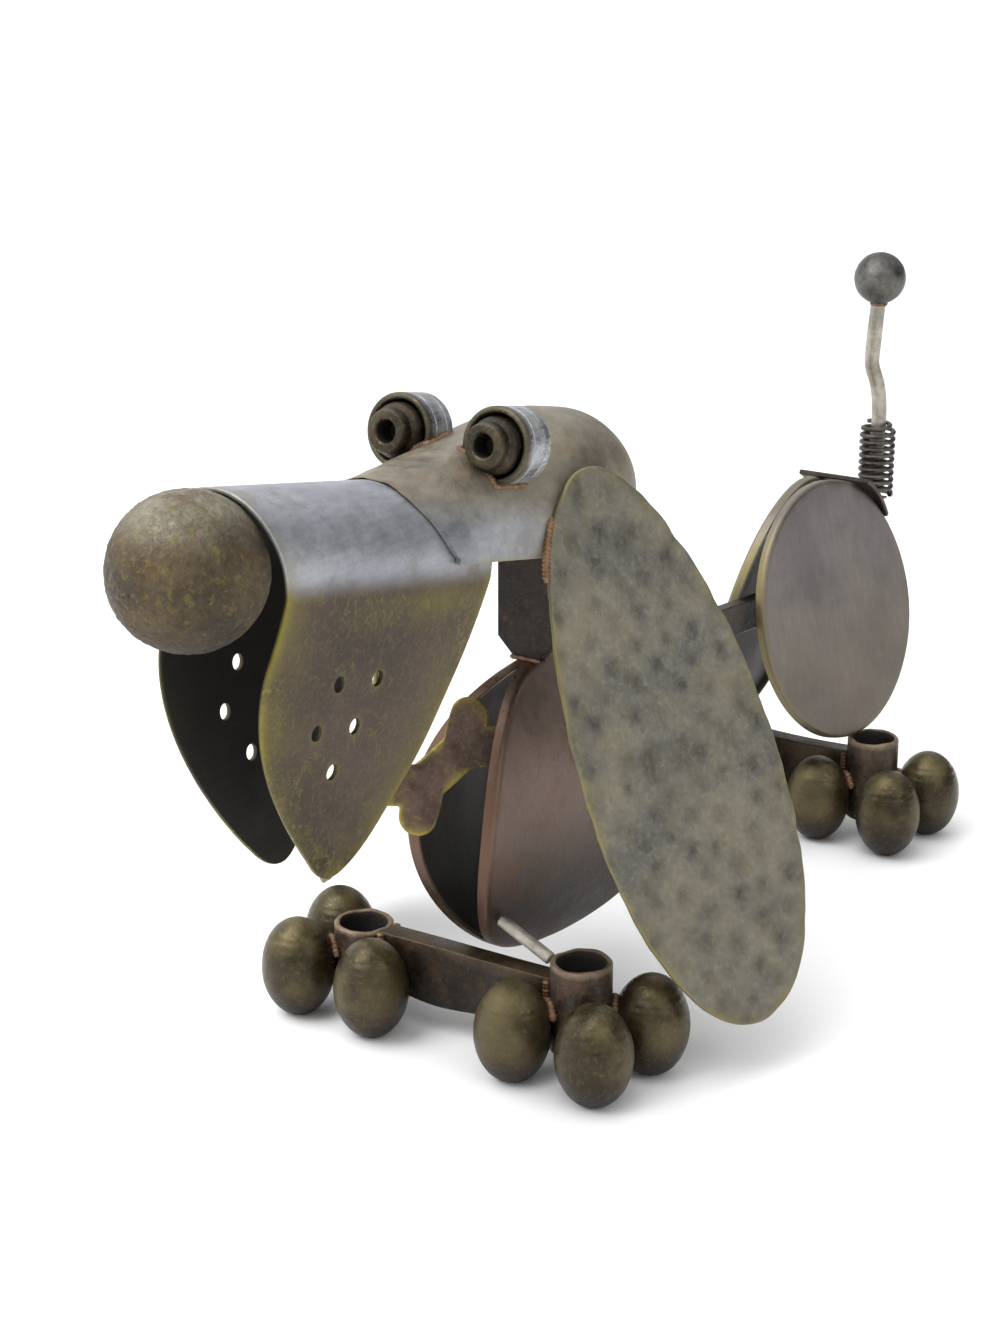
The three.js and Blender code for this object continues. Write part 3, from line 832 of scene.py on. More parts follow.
WELD = SteelFinish("ground_weld_bead", "5c4634", "94735a", "5c4634", "94735a", rust="93633c", rust_share=0.45,
                   speck="7d6a54", speck_share=0.2, metallic=0.5, rough=0.46, mottle_scale=120, pit_depth=0.8)


@dataclass
class Workshop:
    """Holds the built finishes and seats each piece in the frame."""

    slots: dict[str, str]
    materials: dict[str, bpy.types.Material] = field(default_factory=dict)

    def open(self) -> None:
        """Builds every finish once."""
        patina, relief = patina_group(), relief_group()
        for slot, finish in FINISHES.items():
            self.materials[slot] = finish.build(patina, relief)
        self.materials["weld"] = WELD.build(patina, relief)

    def seat(self, obj: bpy.types.Object, node: str) -> bpy.types.Object:
        """Dresses a piece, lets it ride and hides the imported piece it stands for.

        Args:
            obj: Finished mesh object.
            node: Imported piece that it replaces.

        Returns:
            The same object.
        """
        slot = self.slots[node]
        obj.data.materials.clear()
        obj.data.materials.append(self.materials[slot])
        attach(obj, ROOT)
        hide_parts(node)
        LOG.info("%s stands for %s: %d faces", obj.name, node, len(obj.data.polygons))
        return obj

    def add(self, obj: bpy.types.Object, slot: str) -> None:
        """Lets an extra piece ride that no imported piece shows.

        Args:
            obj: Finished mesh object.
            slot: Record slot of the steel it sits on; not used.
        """
        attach(obj, ROOT)
        LOG.info("%s added: %d faces", obj.name, len(obj.data.polygons))


# ---------------------------------------------------------------- head


@dataclass
class HeadAxes:
    """Axes of the tipped head: X to the left, Y back along the muzzle, Z up from the nose ball's centre."""

    pitch: float = 10.0

    def matrix(self) -> Matrix:
        """Matrix from the head's axes to the row's, in millimetres."""
        tip = math.radians(self.pitch)
        back = Vector((0.0, math.cos(tip), -math.sin(tip)))
        up = Vector((0.0, math.sin(tip), math.cos(tip)))
        return basis(middle("nose_ball"), Vector((1.0, 0.0, 0.0)), back, up)


def eye_centre(axes: Matrix, side: Side) -> np.ndarray:
    """Centre of one eye tube in the head's axes."""
    low, high = box_mm(f"eye_tube_{side.word}")
    return moved((low + high) / 2, axes.inverted())


@dataclass
class KnobBall:
    """A pitted ball: the nose and the tail's end."""

    node: str
    divisions: int
    pit_depth: float
    pit_size: float

    def build(self) -> bpy.types.Object:
        """Makes the ball with pits and slight flats hammered into it.

        Returns:
            The mesh object.
        """
        low, high = box_mm(self.node)
        radius = (high - low).max() / 2
        work = bmesh.new()
        bmesh.ops.create_icosphere(work, subdivisions=self.divisions, radius=radius)
        centre = middle(self.node)
        for vert in work.verts:
            way = vert.co.normalized()
            rough = noise.fractal(vert.co / self.pit_size, 0.6, 2.0, 4)
            broad = noise.noise(vert.co / (radius * 0.6))
            vert.co = (centre + way * (radius - self.pit_depth * (0.5 + 0.5 * rough) - 0.25 * broad)) * MM
        mesh = bpy.data.meshes.new(self.node + "_look")
        work.to_mesh(mesh)
        work.free()
        mesh.polygons.foreach_set("use_smooth", [True] * len(mesh.polygons))
        obj = linked(mesh.name, mesh)
        spots = positions(obj) - np.array(centre)
        # Painted shade darkens the lower half of the ball; the zone mark picks the top, which on the nose
        # ball carries a painted highlight.
        mark(obj, soot=0.55 * smoothstep(0.25, 0.95, -spots[:, 2] / radius),
             zone=smoothstep(0.35, 0.95, spots[:, 2] / radius))
        return obj


@dataclass
class MuzzleSheet:
    """Sheet folded over the nose ball, its sides hanging down as pierced jowls."""

    axes: Matrix
    radius: float = 33.5
    thickness: float = 2.2
    rim: float = 12.0
    end: float = 172.0
    crease: float = -8.0
    fold: float = -127.0
    bottom: float = -146.0
    fold_half_width: float = 18.3
    tip_half_width: float = 13.2
    hole_radius: float = 3.7
    edge_wear: float = 4.5
    hem_wear: float = 12.0
    band_up: float = -17.0
    band_width: float = 9.0
    hole_rows: dict[float, tuple[float, ...]] = field(
        default_factory=lambda: {-48.0: (70.0, 97.5), -68.5: (60.5, 87.5), -88.0: (77.5,)}
    )
    columns: int = 56

    def outline(self) -> np.ndarray:
        """Side outline as (along, up) points, from the roof's rear end round the jowl to the rim."""
        roof = self.radius + 5
        return np.concatenate([
            [(self.end, roof), (self.end, self.radius)],
            bezier([(self.end, self.crease), (164, -50), (140, -97), (112, self.fold)], 40),
            bezier([(112, self.fold), (101, -141), (91, -144), (78, -133)], 24),
            bezier([(78, -133), (46, -106), (12, -70), (21, -34)], 40),
            bezier([(21, -34), (24, -18), (24, self.crease)], 12),
            bezier([(24, self.crease), (21, 8), (14, 20), (self.rim, roof)], 24),
            [(self.rim, roof)],
        ])

    def limits(self) -> tuple[np.ndarray, np.ndarray]:
        """Front and rear edge as (along, up) points, both from the tip upward."""
        line = self.outline()
        tip = int(line[:, 1].argmin())
        return line[tip:], line[: tip + 1][::-1]

    def span(self, up: np.ndarray) -> tuple[np.ndarray, np.ndarray]:
        """Where the sheet starts and ends along the head at some heights.

        Args:
            up: Heights in the head's axes.

        Returns:
            Front and rear places.
        """
        front, rear = self.limits()
        return np.interp(up, front[:, 1], front[:, 0]), np.interp(up, rear[:, 1], rear[:, 0])

    def section(self) -> np.ndarray:
        """Outer skin of the section as (across, up) points, from the left tip over the top to the right."""
        turn = np.linspace(math.pi / 2, 0.0, 30)
        arc = np.stack([self.radius * np.cos(turn), self.radius * np.sin(turn)], axis=1)
        corners = [(self.radius, self.crease), (self.fold_half_width, self.fold),
                   (self.tip_half_width, self.bottom)]
        line = resampled(np.concatenate([arc, corners]), 1.9)
        line[1:-1] = (line[:-2] + 2 * line[1:-1] + line[2:]) / 4
        lowest = self.limits()[0][0, 1] + 0.12
        levels = np.concatenate([line[line[:, 1] > -124, 1], np.linspace(-124.5, lowest, 22)])
        side = np.stack([np.interp(-levels, -line[:, 1], line[:, 0]), levels], axis=1)
        side[0] = (0.0, self.radius)
        return np.concatenate([side[::-1] * (-1, 1), side[1:]])

    def build(self) -> bpy.types.Object:
        """Makes the folded sheet, pierces it and marks its worn edges, heat tint and painted shade.

        Returns:
            The mesh object.
        """
        section = self.section()
        tangent = np.gradient(section, axis=0)
        tangent /= np.linalg.norm(tangent, axis=1)[:, None]
        outward = np.stack([-tangent[:, 1], tangent[:, 0]], axis=1)
        front, rear = self.span(section[:, 1])
        lip = np.minimum(0.6, (rear - front) / 4)
        share = np.linspace(0.0, 1.0, self.columns)
        along = front[:, None] + lip[:, None] + (rear - front - 2 * lip)[:, None] * share
        loops = [
            (along, 0.0),
            (rear[:, None], 0.25), (rear[:, None], 0.75),
            (along[:, ::-1], 1.0),
            (front[:, None], 0.75), (front[:, None], 0.25),
        ]
        parts = []
        for places, depth in loops:
            skin = section - outward * self.thickness * depth
            part = np.empty((len(section), places.shape[1], 3))
            part[..., 0] = skin[:, :1]
            part[..., 1] = places
            part[..., 2] = skin[:, 1:]
            parts.append(part)
        rings = np.concatenate(parts, axis=1)
        shape = rings.shape
        rings = rings.reshape(-1, 3)
        hang = smoothstep(self.crease, -60.0, rings[:, 2])
        rings[:, 0] += 0.35 * waves(rings, 60.0, 11) * hang * np.sign(rings[:, 0])
        obj = loft("muzzle_sheet_look", moved(rings, self.axes).reshape(shape))
        cut(obj, [self.drill(up, place) for up, row in self.hole_rows.items() for place in row])
        self.wear(obj)
        return obj

    def drill(self, up: float, along: float) -> bpy.types.Object:
        """A round cutter through both jowls.

        Args:
            up: Height of the hole in the head's axes.
            along: Place of the hole along the head.

        Returns:
            The cutter's object.
        """
        reach = 2 * self.radius
        line = np.array([(-reach, along, up), (0.0, along, up), (reach, along, up)])
        rings = swept(line, self.hole_radius, 40)
        return loft("drill", moved(rings, self.axes))

    def wear(self, obj: bpy.types.Object) -> None:
        """Marks cut edges, the jowls' painted shade, forehead heat tint and painted shade on the inside.

        Args:
            obj: The pierced sheet.
        """
        spots = moved(positions(obj), self.axes.inverted())
        across, along, up = np.abs(spots[:, 0]), spots[:, 1], spots[:, 2]
        front, rear = self.span(up)
        lowest = self.limits()[0][0, 1]
        margin = np.minimum(np.minimum(along - front, rear - along) * 0.85, (up - lowest) * 0.9)
        # The hanging jowls take the darker zone colours as painted shade.
        jowl = smoothstep(2.0, self.crease - 3.0, up)
        edge = np.exp(-np.maximum(margin, 0.0) / self.edge_wear) * (0.35 + 0.65 * jowl)
        band = 0.34 * np.exp(-(((up - self.band_up) / self.band_width) ** 2)) * smoothstep(38.0, 90.0, along)
        hem = 0.5 * np.exp(-np.maximum(margin, 0.0) / self.hem_wear) * jowl
        for level, row in self.hole_rows.items():
            for place in row:
                near = np.hypot(along - place, up - level)
                edge = np.maximum(edge, 0.35 * np.exp(-np.abs(near - self.hole_radius) / 1.2) * jowl)
        # Painted shade darkens the inner skin of the sheet.
        half = np.interp(up, [self.bottom, self.fold, self.crease],
                         [self.tip_half_width, self.fold_half_width, self.radius])
        outside = np.where(up > 0, np.hypot(across, up) - self.radius, across - half)
        heat = smoothstep(112.0, 158.0, along) * smoothstep(-2.0, 18.0, up)
        warm = 0.6 * smoothstep(25.0, 33.0, up) * smoothstep(20.0, 60.0, along)
        mark(obj, edge=np.maximum(np.maximum(edge, band), hem), zone=jowl, heat=np.maximum(0.75 * heat, warm),
             soot=smoothstep(-0.5, -0.75, outside / self.thickness))


@dataclass
class HeadCap:
    """Hood that grows out of the muzzle's top and ends in a dome."""

    axes: Matrix
    thickness: float = 2.2
    start: float = 141.0
    tongue: float = 23.0
    feather_radius: float = 34.3
    muzzle_room: float = 33.8
    dome_centre: float = 272.0
    radius: float = 41.0
    ridge: float = 65.0
    front_radius: float = 36.3
    front_ridge: float = 37.5
    eye_room: float = 18.3
    eye_reach: float = 10.4
    lump_height: float = 0.9
    ragged: float = 1.6
    arc_steps: int = 84
    wall_steps: int = 8

    def section(self, along: np.ndarray | float, inset: float) -> tuple[np.ndarray, np.ndarray]:
        """Half width and axis height of the hood along the head.

        Args:
            along: Places along the head.
            inset: How far under the outer skin.

        Returns:
            Half widths and heights of the arch's axis.
        """
        rise = smoothstep(self.start - 12, self.dome_centre - 20, np.asarray(along, float))
        thick = smoothstep(self.start - self.tongue - 1, self.start, np.asarray(along, float))
        front = self.feather_radius + (self.front_radius - self.feather_radius) * thick
        front_ridge = self.feather_radius + 0.1 + (self.front_ridge - self.feather_radius - 0.1) * thick
        skin = front + (self.radius - front) * rise
        full = np.maximum(skin - inset, min(self.muzzle_room, self.radius - inset)) if inset else skin
        ridge = front_ridge + (self.ridge - front_ridge) * rise**0.8 - skin + full
        beyond = np.maximum(0.0, along - self.dome_centre)
        return np.sqrt(np.maximum(0.0, full**2 - beyond**2)), ridge - full

    def height(self, across: float, along: float) -> float:
        """Height of the outer skin over a point beside the head's middle line."""
        half, axis = self.section(along, 0.0)
        return float(axis + math.sqrt(max(0.0, float(half) ** 2 - across**2)))

    def skin(self, inset: float) -> np.ndarray:
        """One skin of the hood.

        Args:
            inset: How far under the outer skin.

        Returns:
            Around x along x 3 positions in the head's axes.
        """
        turn = np.linspace(0.0, math.pi / 2, 22)[1:]
        dome = self.dome_centre + (self.radius - inset) * np.sin(turn)
        walls = [(0.0, k / self.wall_steps) for k in range(self.wall_steps)]
        turns = [(a, 1.0) for a in np.linspace(0.0, math.pi, self.arc_steps)]
        rows = []
        for a, lift in [*walls, *turns, *[(math.pi, k) for _, k in walls[::-1]]]:
            ragged = self.ragged * float(waves(np.array([[9.0 * a, 0.0, 0.0]]), 6.0, 17)[0])
            front = self.start - (self.tongue + ragged) * math.sin(a) ** 0.8
            along = np.concatenate([np.linspace(front, self.dome_centre, 70), dome])
            half, axis = self.section(along, inset)
            half[-1] = 0.0
            rows.append(np.stack([half * math.cos(a), along, axis * lift + half * math.sin(a)], axis=1))
        return np.array(rows)

    def build(self) -> bpy.types.Object:
        """Makes the hood with its open underside and the seats of the eye tubes.

        Returns:
            The mesh object.
        """
        skins = [self.skin(0.0), self.skin(self.thickness)]
        around, along = skins[0].shape[:2]
        shift = around * along
        faces = []
        for base in (0, shift):
            for i in range(around - 1):
                for j in range(along - 1):
                    a = base + i * along + j
                    faces.append((a, a + 1, a + along + 1, a + along))
        for i in range(around - 1):
            a = i * along
            faces.append((a, a + along, a + along + shift, a + shift))
        for i in (0, around - 1):
            for j in range(along - 1):
                a = i * along + j
                faces.append((a, a + 1, a + 1 + shift, a + shift))
        points = np.concatenate([skin.reshape(-1, 3) for skin in skins])
        points[:, 2] += 0.3 * waves(points, 55.0, 5) * smoothstep(20.0, 40.0, points[:, 2])
        lumps = 0.5 + 0.25 * (waves(points, 7.0, 23) + waves(points, 13.0, 24))
        brow = smoothstep(20.0, 32.0, points[:, 2]) * smoothstep(200.0, 165.0, points[:, 1])
        points[:, 2] += self.lump_height * np.clip(lumps, 0.0, 1.5) * brow
        obj = mesh_object("head_cap_look", moved(points, self.axes), faces)
        cut(obj, [self.seat_cutter(side) for side in Side])
        self.wear(obj)
        return obj

    def seat_cutter(self, side: Side) -> bpy.types.Object:
        """Cylinder that clears the room of one eye tube."""
        centre = eye_centre(self.axes, side)
        reach = np.array([0.0, self.eye_reach, 0.0])
        line = np.array([centre - reach + (0, 0.2, 0), centre, centre + reach])
        rings = swept(line, self.eye_room, 56)
        return loft("eye_room", moved(rings, self.axes))

    def wear(self, obj: bpy.types.Object) -> None:
        """Marks the welded front, the grey crown, the lower edge and painted shade on the inside.

        Args:
            obj: The cut hood.
        """
        spots = moved(positions(obj), self.axes.inverted())
        half, axis = self.section(spots[:, 1], 0.0)
        above = spots[:, 2] > axis
        outside = np.where(above, np.hypot(spots[:, 0], spots[:, 2] - axis), np.abs(spots[:, 0])) - half
        # Painted shade darkens the inner skin of the hood.
        inside = smoothstep(-0.5, -0.75, outside / self.thickness)
        heat = smoothstep(222.0, 182.0, spots[:, 1]) * smoothstep(14.0, 30.0, spots[:, 2])
        mark(obj, edge=0.6 * np.exp(-np.maximum(spots[:, 2], 0.0) / 1.6), heat=0.9 * heat,
             zone=smoothstep(34.0, 10.0, spots[:, 2]) * smoothstep(230.0, 180.0, spots[:, 1]),
             soot=inside * smoothstep(self.start, self.start + 4.0, spots[:, 1]))


def rounded(profile: list[tuple[float, float]], radius: float) -> list[tuple[float, float]]:
    """Rounds the corners of a turning profile.

    Args:
        profile: (radius, height) points; the first and last stay.
        radius: Distance from a corner at which its rounding starts.

    Returns:
        The eased profile.
    """
    points = [np.array(p, float) for p in profile]
    eased = [tuple(points[0])]
    for before, corner, after in zip(points, points[1:], points[2:]):
        reach = min(radius, np.linalg.norm(before - corner) * 0.45, np.linalg.norm(after - corner) * 0.45)
        start = corner + (before - corner) / np.linalg.norm(before - corner) * reach
        stop = corner + (after - corner) / np.linalg.norm(after - corner) * reach
        for t in (0.0, 0.33, 0.67, 1.0):
            eased.append(tuple((1 - t) ** 2 * start + 2 * t * (1 - t) * corner + t * t * stop))
    eased.append(tuple(points[-1]))
    return eased


@dataclass
class Eye:
    """Short tube with a stepped bush in it, looking forward along the head."""

    axes: Matrix
    side: Side
    radius: float = 18.0
    length: float = 20.0
    wall: float = 3.2
    tube_sides: int = 96
    bush_sides: int = 80
    bore_radius: float = 5.2

    def place(self) -> Matrix:
        """Matrix whose Z looks forward out of the tube, from the tube's back."""
        centre = eye_centre(self.axes, self.side)
        turn = basis(Vector(centre + (0, self.length / 2, 0)), Vector((1, 0, 0)), Vector((0, 0, 1)),
                     Vector((0, -1, 0)))
        return self.axes @ turn

    def tube(self) -> bpy.types.Object:
        """Makes the tube with a rolled lip and two turned grooves.

        Returns:
            The mesh object.
        """
        r, inner = self.radius, self.radius - self.wall
        profile = [(0, 0), (r - 0.8, 0), (r, 0.8), (r, 5.0), (r - 0.35, 5.4), (r, 5.8), (r, 13.4),
                   (r - 0.5, 13.9),
                   (r, 14.4), (r, self.length - 0.9), (r - 1.0, self.length), (inner + 0.8, self.length),
                   (inner, self.length - 0.9), (inner, 4), (0, 4)]
        rings = turned(rounded(profile, 0.5), self.tube_sides)
        rim = smoothstep(self.length - 5.0, self.length - 1.0, rings[..., 2])
        # Painted shade darkens the inside of the tube.
        deep = smoothstep(inner + 0.5, inner - 0.2, np.hypot(rings[..., 0], rings[..., 1]))
        name = f"eye_tube_{self.side.word}_look"
        return loft(name, moved(rings, self.place()), ROUND_CREASE, edge=0.6 * rim,
                    zone=rim, soot=deep)

    def bush(self) -> bpy.types.Object:
        """Makes the stepped bush with the bored pupil.

        Returns:
            The mesh object.
        """
        profile = [(0, 4.3), (13.6, 4.3), (13.6, 19.6), (12.9, 22), (11.4, 24), (10.9, 24.6), (10.7, 28),
                   (9.9, 29.8),
                   (6.1, 30), (self.bore_radius, 29), (self.bore_radius, 18), (0, 18)]
        rings = turned(rounded(profile, 0.7), self.bush_sides)
        # Painted shade darkens the bored pupil.
        deep = smoothstep(5.6, 5.1, np.hypot(rings[..., 0], rings[..., 1]))
        bore = deep * smoothstep(16.0, 18.5, rings[..., 2])
        lip = smoothstep(27.0, 29.5, rings[..., 2]) * (1 - bore)
        name = f"eye_bush_{self.side.word}_look"
        return loft(name, moved(rings, self.place()), ROUND_CREASE, zone=lip,
                    edge=0.35 * lip, soot=bore)


@dataclass
class Ear:
    """Egg-shaped hammered plate hung beside the cap."""

    side: Side
    length: float = 281.0
    width: float = 112.0
    egg: float = 0.12
    thickness: float = 2.6
    splay: float = 20.4
    twist: float = 23.5
    lean: float = -0.0535
    dent_depth: float = 2.0
    dent_pitch: float = 17.0
    dent_radius: float = 5.6
    dent_stray: float = 2.1
    points: int = 232
    steps: int = 64

    def axes(self) -> Matrix:
        """Matrix whose X runs to the rear edge, Y up and Z out of the plate."""
        sign = self.side.value
        splay, twist = math.radians(self.splay), math.radians(self.twist)
        up = Vector((-sign * math.sin(splay), self.lean, math.cos(splay))).normalized()
        rear = Vector((sign * math.sin(twist), math.cos(twist), 0.0))
        rear = (rear - up * rear.dot(up)).normalized()
        return basis(Vector((0, 0, 0)), rear, up, rear.cross(up))

    def outline(self) -> np.ndarray:
        """The egg's edge as (rearward, up) points, walked once round from the top."""
        turn = np.linspace(0.0, 2 * math.pi, self.points, endpoint=False)
        across = (self.width / 2) * np.sin(turn) * (1 - self.egg * np.cos(turn))
        return np.stack([across, (self.length / 2) * (np.cos(turn) - 1)], axis=1)

    def front_edge(self, high: float, low: float) -> np.ndarray:
        """Stretch of the plate's front edge, in millimetres in the row.

        Args:
            high: Upper end, down from the plate's top.
            low: Lower end, down from the plate's top.

        Returns:
            N x 3 positions.
        """
        line = self.outline()
        places = seated(moved(np.c_[line, np.zeros(len(line))], self.axes()), f"ear_{self.side.word}")
        return places[(line[:, 0] < 0) & (line[:, 1] < -high) & (line[:, 1] > -low)]

    def dents(self, flat: np.ndarray) -> np.ndarray:
        """Depth of the hammer marks over the plate.

        Args:
            flat: N x 2 positions on the plate.

        Returns:
            Depth at each position.
        """
        rng = np.random.default_rng(21 + self.side.value)
        depth = np.zeros(len(flat))
        rows = int(self.length / (self.dent_pitch * 0.86)) + 2
        columns = int(self.width / self.dent_pitch) + 2
        for row in range(rows):
            for column in range(columns):
                x = (column - columns / 2 + 0.5 * (row % 2)) * self.dent_pitch
                y = -row * self.dent_pitch * 0.86
                spot = np.array([x, y]) + rng.normal(size=2) * self.dent_stray
                force = self.dent_depth * rng.uniform(0.45, 1.2)
                size = self.dent_radius * rng.uniform(0.8, 1.25)
                depth += force * np.exp(-((np.linalg.norm(flat - spot, axis=1) / size) ** 2))
        return depth

    def build(self) -> bpy.types.Object:
        """Makes the plate with its hammer marks.

        Returns:
            The mesh object.
        """
        rings = plate(self.outline(), self.thickness, self.steps)
        middle_ring = len(rings) // 2
        margin = np.linalg.norm(rings[..., :2] - rings[middle_ring, :, :2], axis=2)
        shape = rings.shape
        rings = rings.reshape(-1, 3)
        depth = self.dents(rings[:, :2])
        rings[:, 2] -= self.side.value * (depth - depth.mean()) + 0.5 * waves(rings * (1, 1, 0), 110.0, 3)
        node = f"ear_{self.side.word}"
        place = seated(moved(rings, self.axes()), node)
        # Painted shade: the hammer dents keep the darker plain colours, and the lower dents are darkened a
        # little more.
        hollow = np.clip(depth / self.dent_depth, 0.0, 1.0).reshape(shape[:2])
        low = smoothstep(-self.length * 0.35, -self.length, rings[:, 1]).reshape(shape[:2])
        return loft(node + "_look", place.reshape(shape), ROUND_CREASE,
                    edge=np.exp(-margin / 1.5) + 0.15 * np.exp(-margin / 6.0),
                    zone=1.0 - hollow, soot=0.1 * low * hollow)


# ---------------------------------------------------------------- body plates


@dataclass
class PanDisc:
    """Dished disc with a turned lip, flat or bowed about a fore-and-aft line."""

    node: str
    side: Side
    radius: float
    lip: float
    bow: float
    lean: float
    tilt: float
    turn: float
    thickness: float = 2.2
    corner: float = 2.4
    halves_gap: float = 0.15
    sides: int = 168

    def profile(self) -> list[tuple[float, float]]:
        """(distance from the middle, offset) points from outside round the lip to the inside."""
        r, t, c = self.radius, self.thickness, self.corner
        outer = [(d, 0.0) for d in np.linspace(0.0, r - c, 42)]
        arc = [(r - c + c * math.sin(a), -c + c * math.cos(a)) for a in np.linspace(0.25, math.pi / 2, 7)]
        lip = [(r, -self.lip + 0.5), (r - 0.5, -self.lip), (r - t + 0.5, -self.lip), (r - t, -self.lip + 0.5)]
        inner = [(r - t, -t - 1.2), (r - t - 0.4, -t - 0.4), (r - t - 1.2, -t)]
        face = [(d, -t) for d in np.linspace(r - t - 3.0, 0.0, 40)]
        return outer + arc + lip + inner + face

    def build(self) -> bpy.types.Object:
        """Makes the disc and marks its lip, painted shade on its lower part and painted shade on its inner
        face.

        Returns:
            The mesh object.
        """
        turn = np.linspace(0.0, 2 * math.pi, self.sides, endpoint=False)
        bend = (self.radius**2 + self.bow**2) / (2 * self.bow) if self.bow else 0.0
        rings = []
        for distance, offset in self.profile():
            y, z = distance * np.cos(turn), distance * np.sin(turn)
            rise = self.bow - bend + np.sqrt(bend**2 - z**2) if self.bow else np.zeros(len(turn))
            rings.append(np.stack([rise + offset, y, z], axis=1))
        rings = np.array(rings)
        shape = rings.shape
        flat = rings.reshape(-1, 3)
        flat[:, 0] += 0.35 * waves(flat * (0, 1, 1), 70.0, 7)
        stance = Matrix.Identity(4)
        for angle, axis in ((self.turn, "Z"), (self.tilt, "Y"), (self.lean, "X")):
            stance = stance @ Matrix.Rotation(-math.radians(angle), 4, axis)
        points = moved(flat, stance) * (self.side.value, 1, 1)
        outer = Align.HIGH if self.side is Side.LEFT else Align.LOW
        points = seated(points, self.node, (outer, Align.CENTRE, Align.CENTRE))
        points[:, 0] = self.side.value * np.maximum(self.side.value * points[:, 0], self.halves_gap)
        reach = np.array([[p[0]] * shape[1] for p in self.profile()])
        # Painted shade: the inner face is darkened, and the zone mark darkens the lower part of the disc.
        hidden = np.array([[float(k > len(self.profile()) // 2 + 4)] * shape[1] for k in range(shape[0])])
        edge = np.exp(-(self.radius - reach) / 1.8)
        high = points[:, 2].max()
        level = (points[:, 2].reshape(shape[:2]) - high) / (2 * self.radius)
        return loft(self.node + "_look", points.reshape(shape), 42.0, edge=np.clip(edge, 0, 1),
                    zone=smoothstep(-0.12, -0.85, level), soot=0.8 * hidden)


# ---------------------------------------------------------------- paws


@dataclass
class ToeKnob:
    """Turned ball toe: taller than wide, with grooves and a small flat foot."""

    node: str
    radius: float = 19.0
    centre: float = 25.5
    flat: float = 0.6
    grooves: tuple[float, ...] = (37.5, 40.2, 44.0)
    groove_depth: float = 0.3
    groove_width: float = 0.45
    sides: int = 84

    def build(self) -> bpy.types.Object:
        """Makes the knob with painted shade darkening its lower half and its underside.

        Returns:
            The mesh object.
        """
        tall = self.centre + self.flat
        start = -math.asin(self.centre / tall)
        profile = [(0.0, 0.0)]
        for turn in np.linspace(start, math.pi / 2, 64):
            level = self.centre + tall * math.sin(turn)
            near = [(level - groove) / self.groove_width for groove in self.grooves]
            cut_in = sum(self.groove_depth * math.exp(-(off**2)) for off in near)
            profile.append((max(0.0, self.radius * math.cos(turn) - cut_in), level))
        profile[-1] = (0.0, self.centre + tall)
        rings = turned(profile, self.sides)
        shape = rings.shape
        points = seated(rings.reshape(-1, 3), self.node)
        centre = points.mean(axis=0)
        swell = 0.12 * waves(points, 26.0, 13) * smoothstep(0.5, 6.0, points[:, 2])
        points = points + (points - centre) * (swell / self.radius)[:, None]
        level = points[:, 2].reshape(shape[:2])
        # Painted shade: the lower half takes the darker zone colours and the foot is darkened further.
        low = smoothstep(26.0, 8.0, level)
        return loft(self.node + "_look", points.reshape(shape), 60.0, zone=low,
                    soot=0.45 * smoothstep(14.0, 3.0, level),
                    edge=0.25 * smoothstep(38.0, 47.0, level))


@dataclass
class AnklePipe:
    """Short open pipe that the three toes are welded round."""

    node: str
    wall: float = 3.0

    def build(self) -> bpy.types.Object:
        """Makes the pipe with rough torch-cut rims.

        Returns:
            The mesh object.
        """
        low, high = box_mm(self.node)
        outer, tall = (high[1] - low[1]) / 2, high[2] - low[2]
        inner = outer - self.wall
        wall = [(outer, z) for z in np.linspace(1.0, tall - 1.0, 20)]
        bore = [(inner, z) for z in np.linspace(tall - 0.8, 0.8, 14)]
        top, foot = [(outer - 0.8, tall), (inner + 0.6, tall)], [(inner + 0.8, 0.0), (outer - 0.8, 0.0)]
        profile = wall + top + bore + foot
        rings = turned(profile + profile[:1], 72)
        shape = rings.shape
        flat = rings.reshape(-1, 3)
        flat[:, 2] += 0.35 * waves(flat, 12.0, 4) * smoothstep(tall - 6, tall, flat[:, 2])
        # Painted shade darkens the bore of the pipe.
        deep = smoothstep(inner + 0.5, inner, np.hypot(flat[:, 0], flat[:, 1])).reshape(shape[:2])
        rim = smoothstep(tall - 3, tall, flat[:, 2]).reshape(shape[:2])
        points = seated(flat, self.node)
        return loft(self.node + "_look", points.reshape(shape), ROUND_CREASE, caps=False, edge=0.4 * rim,
                    zone=rim, soot=deep)


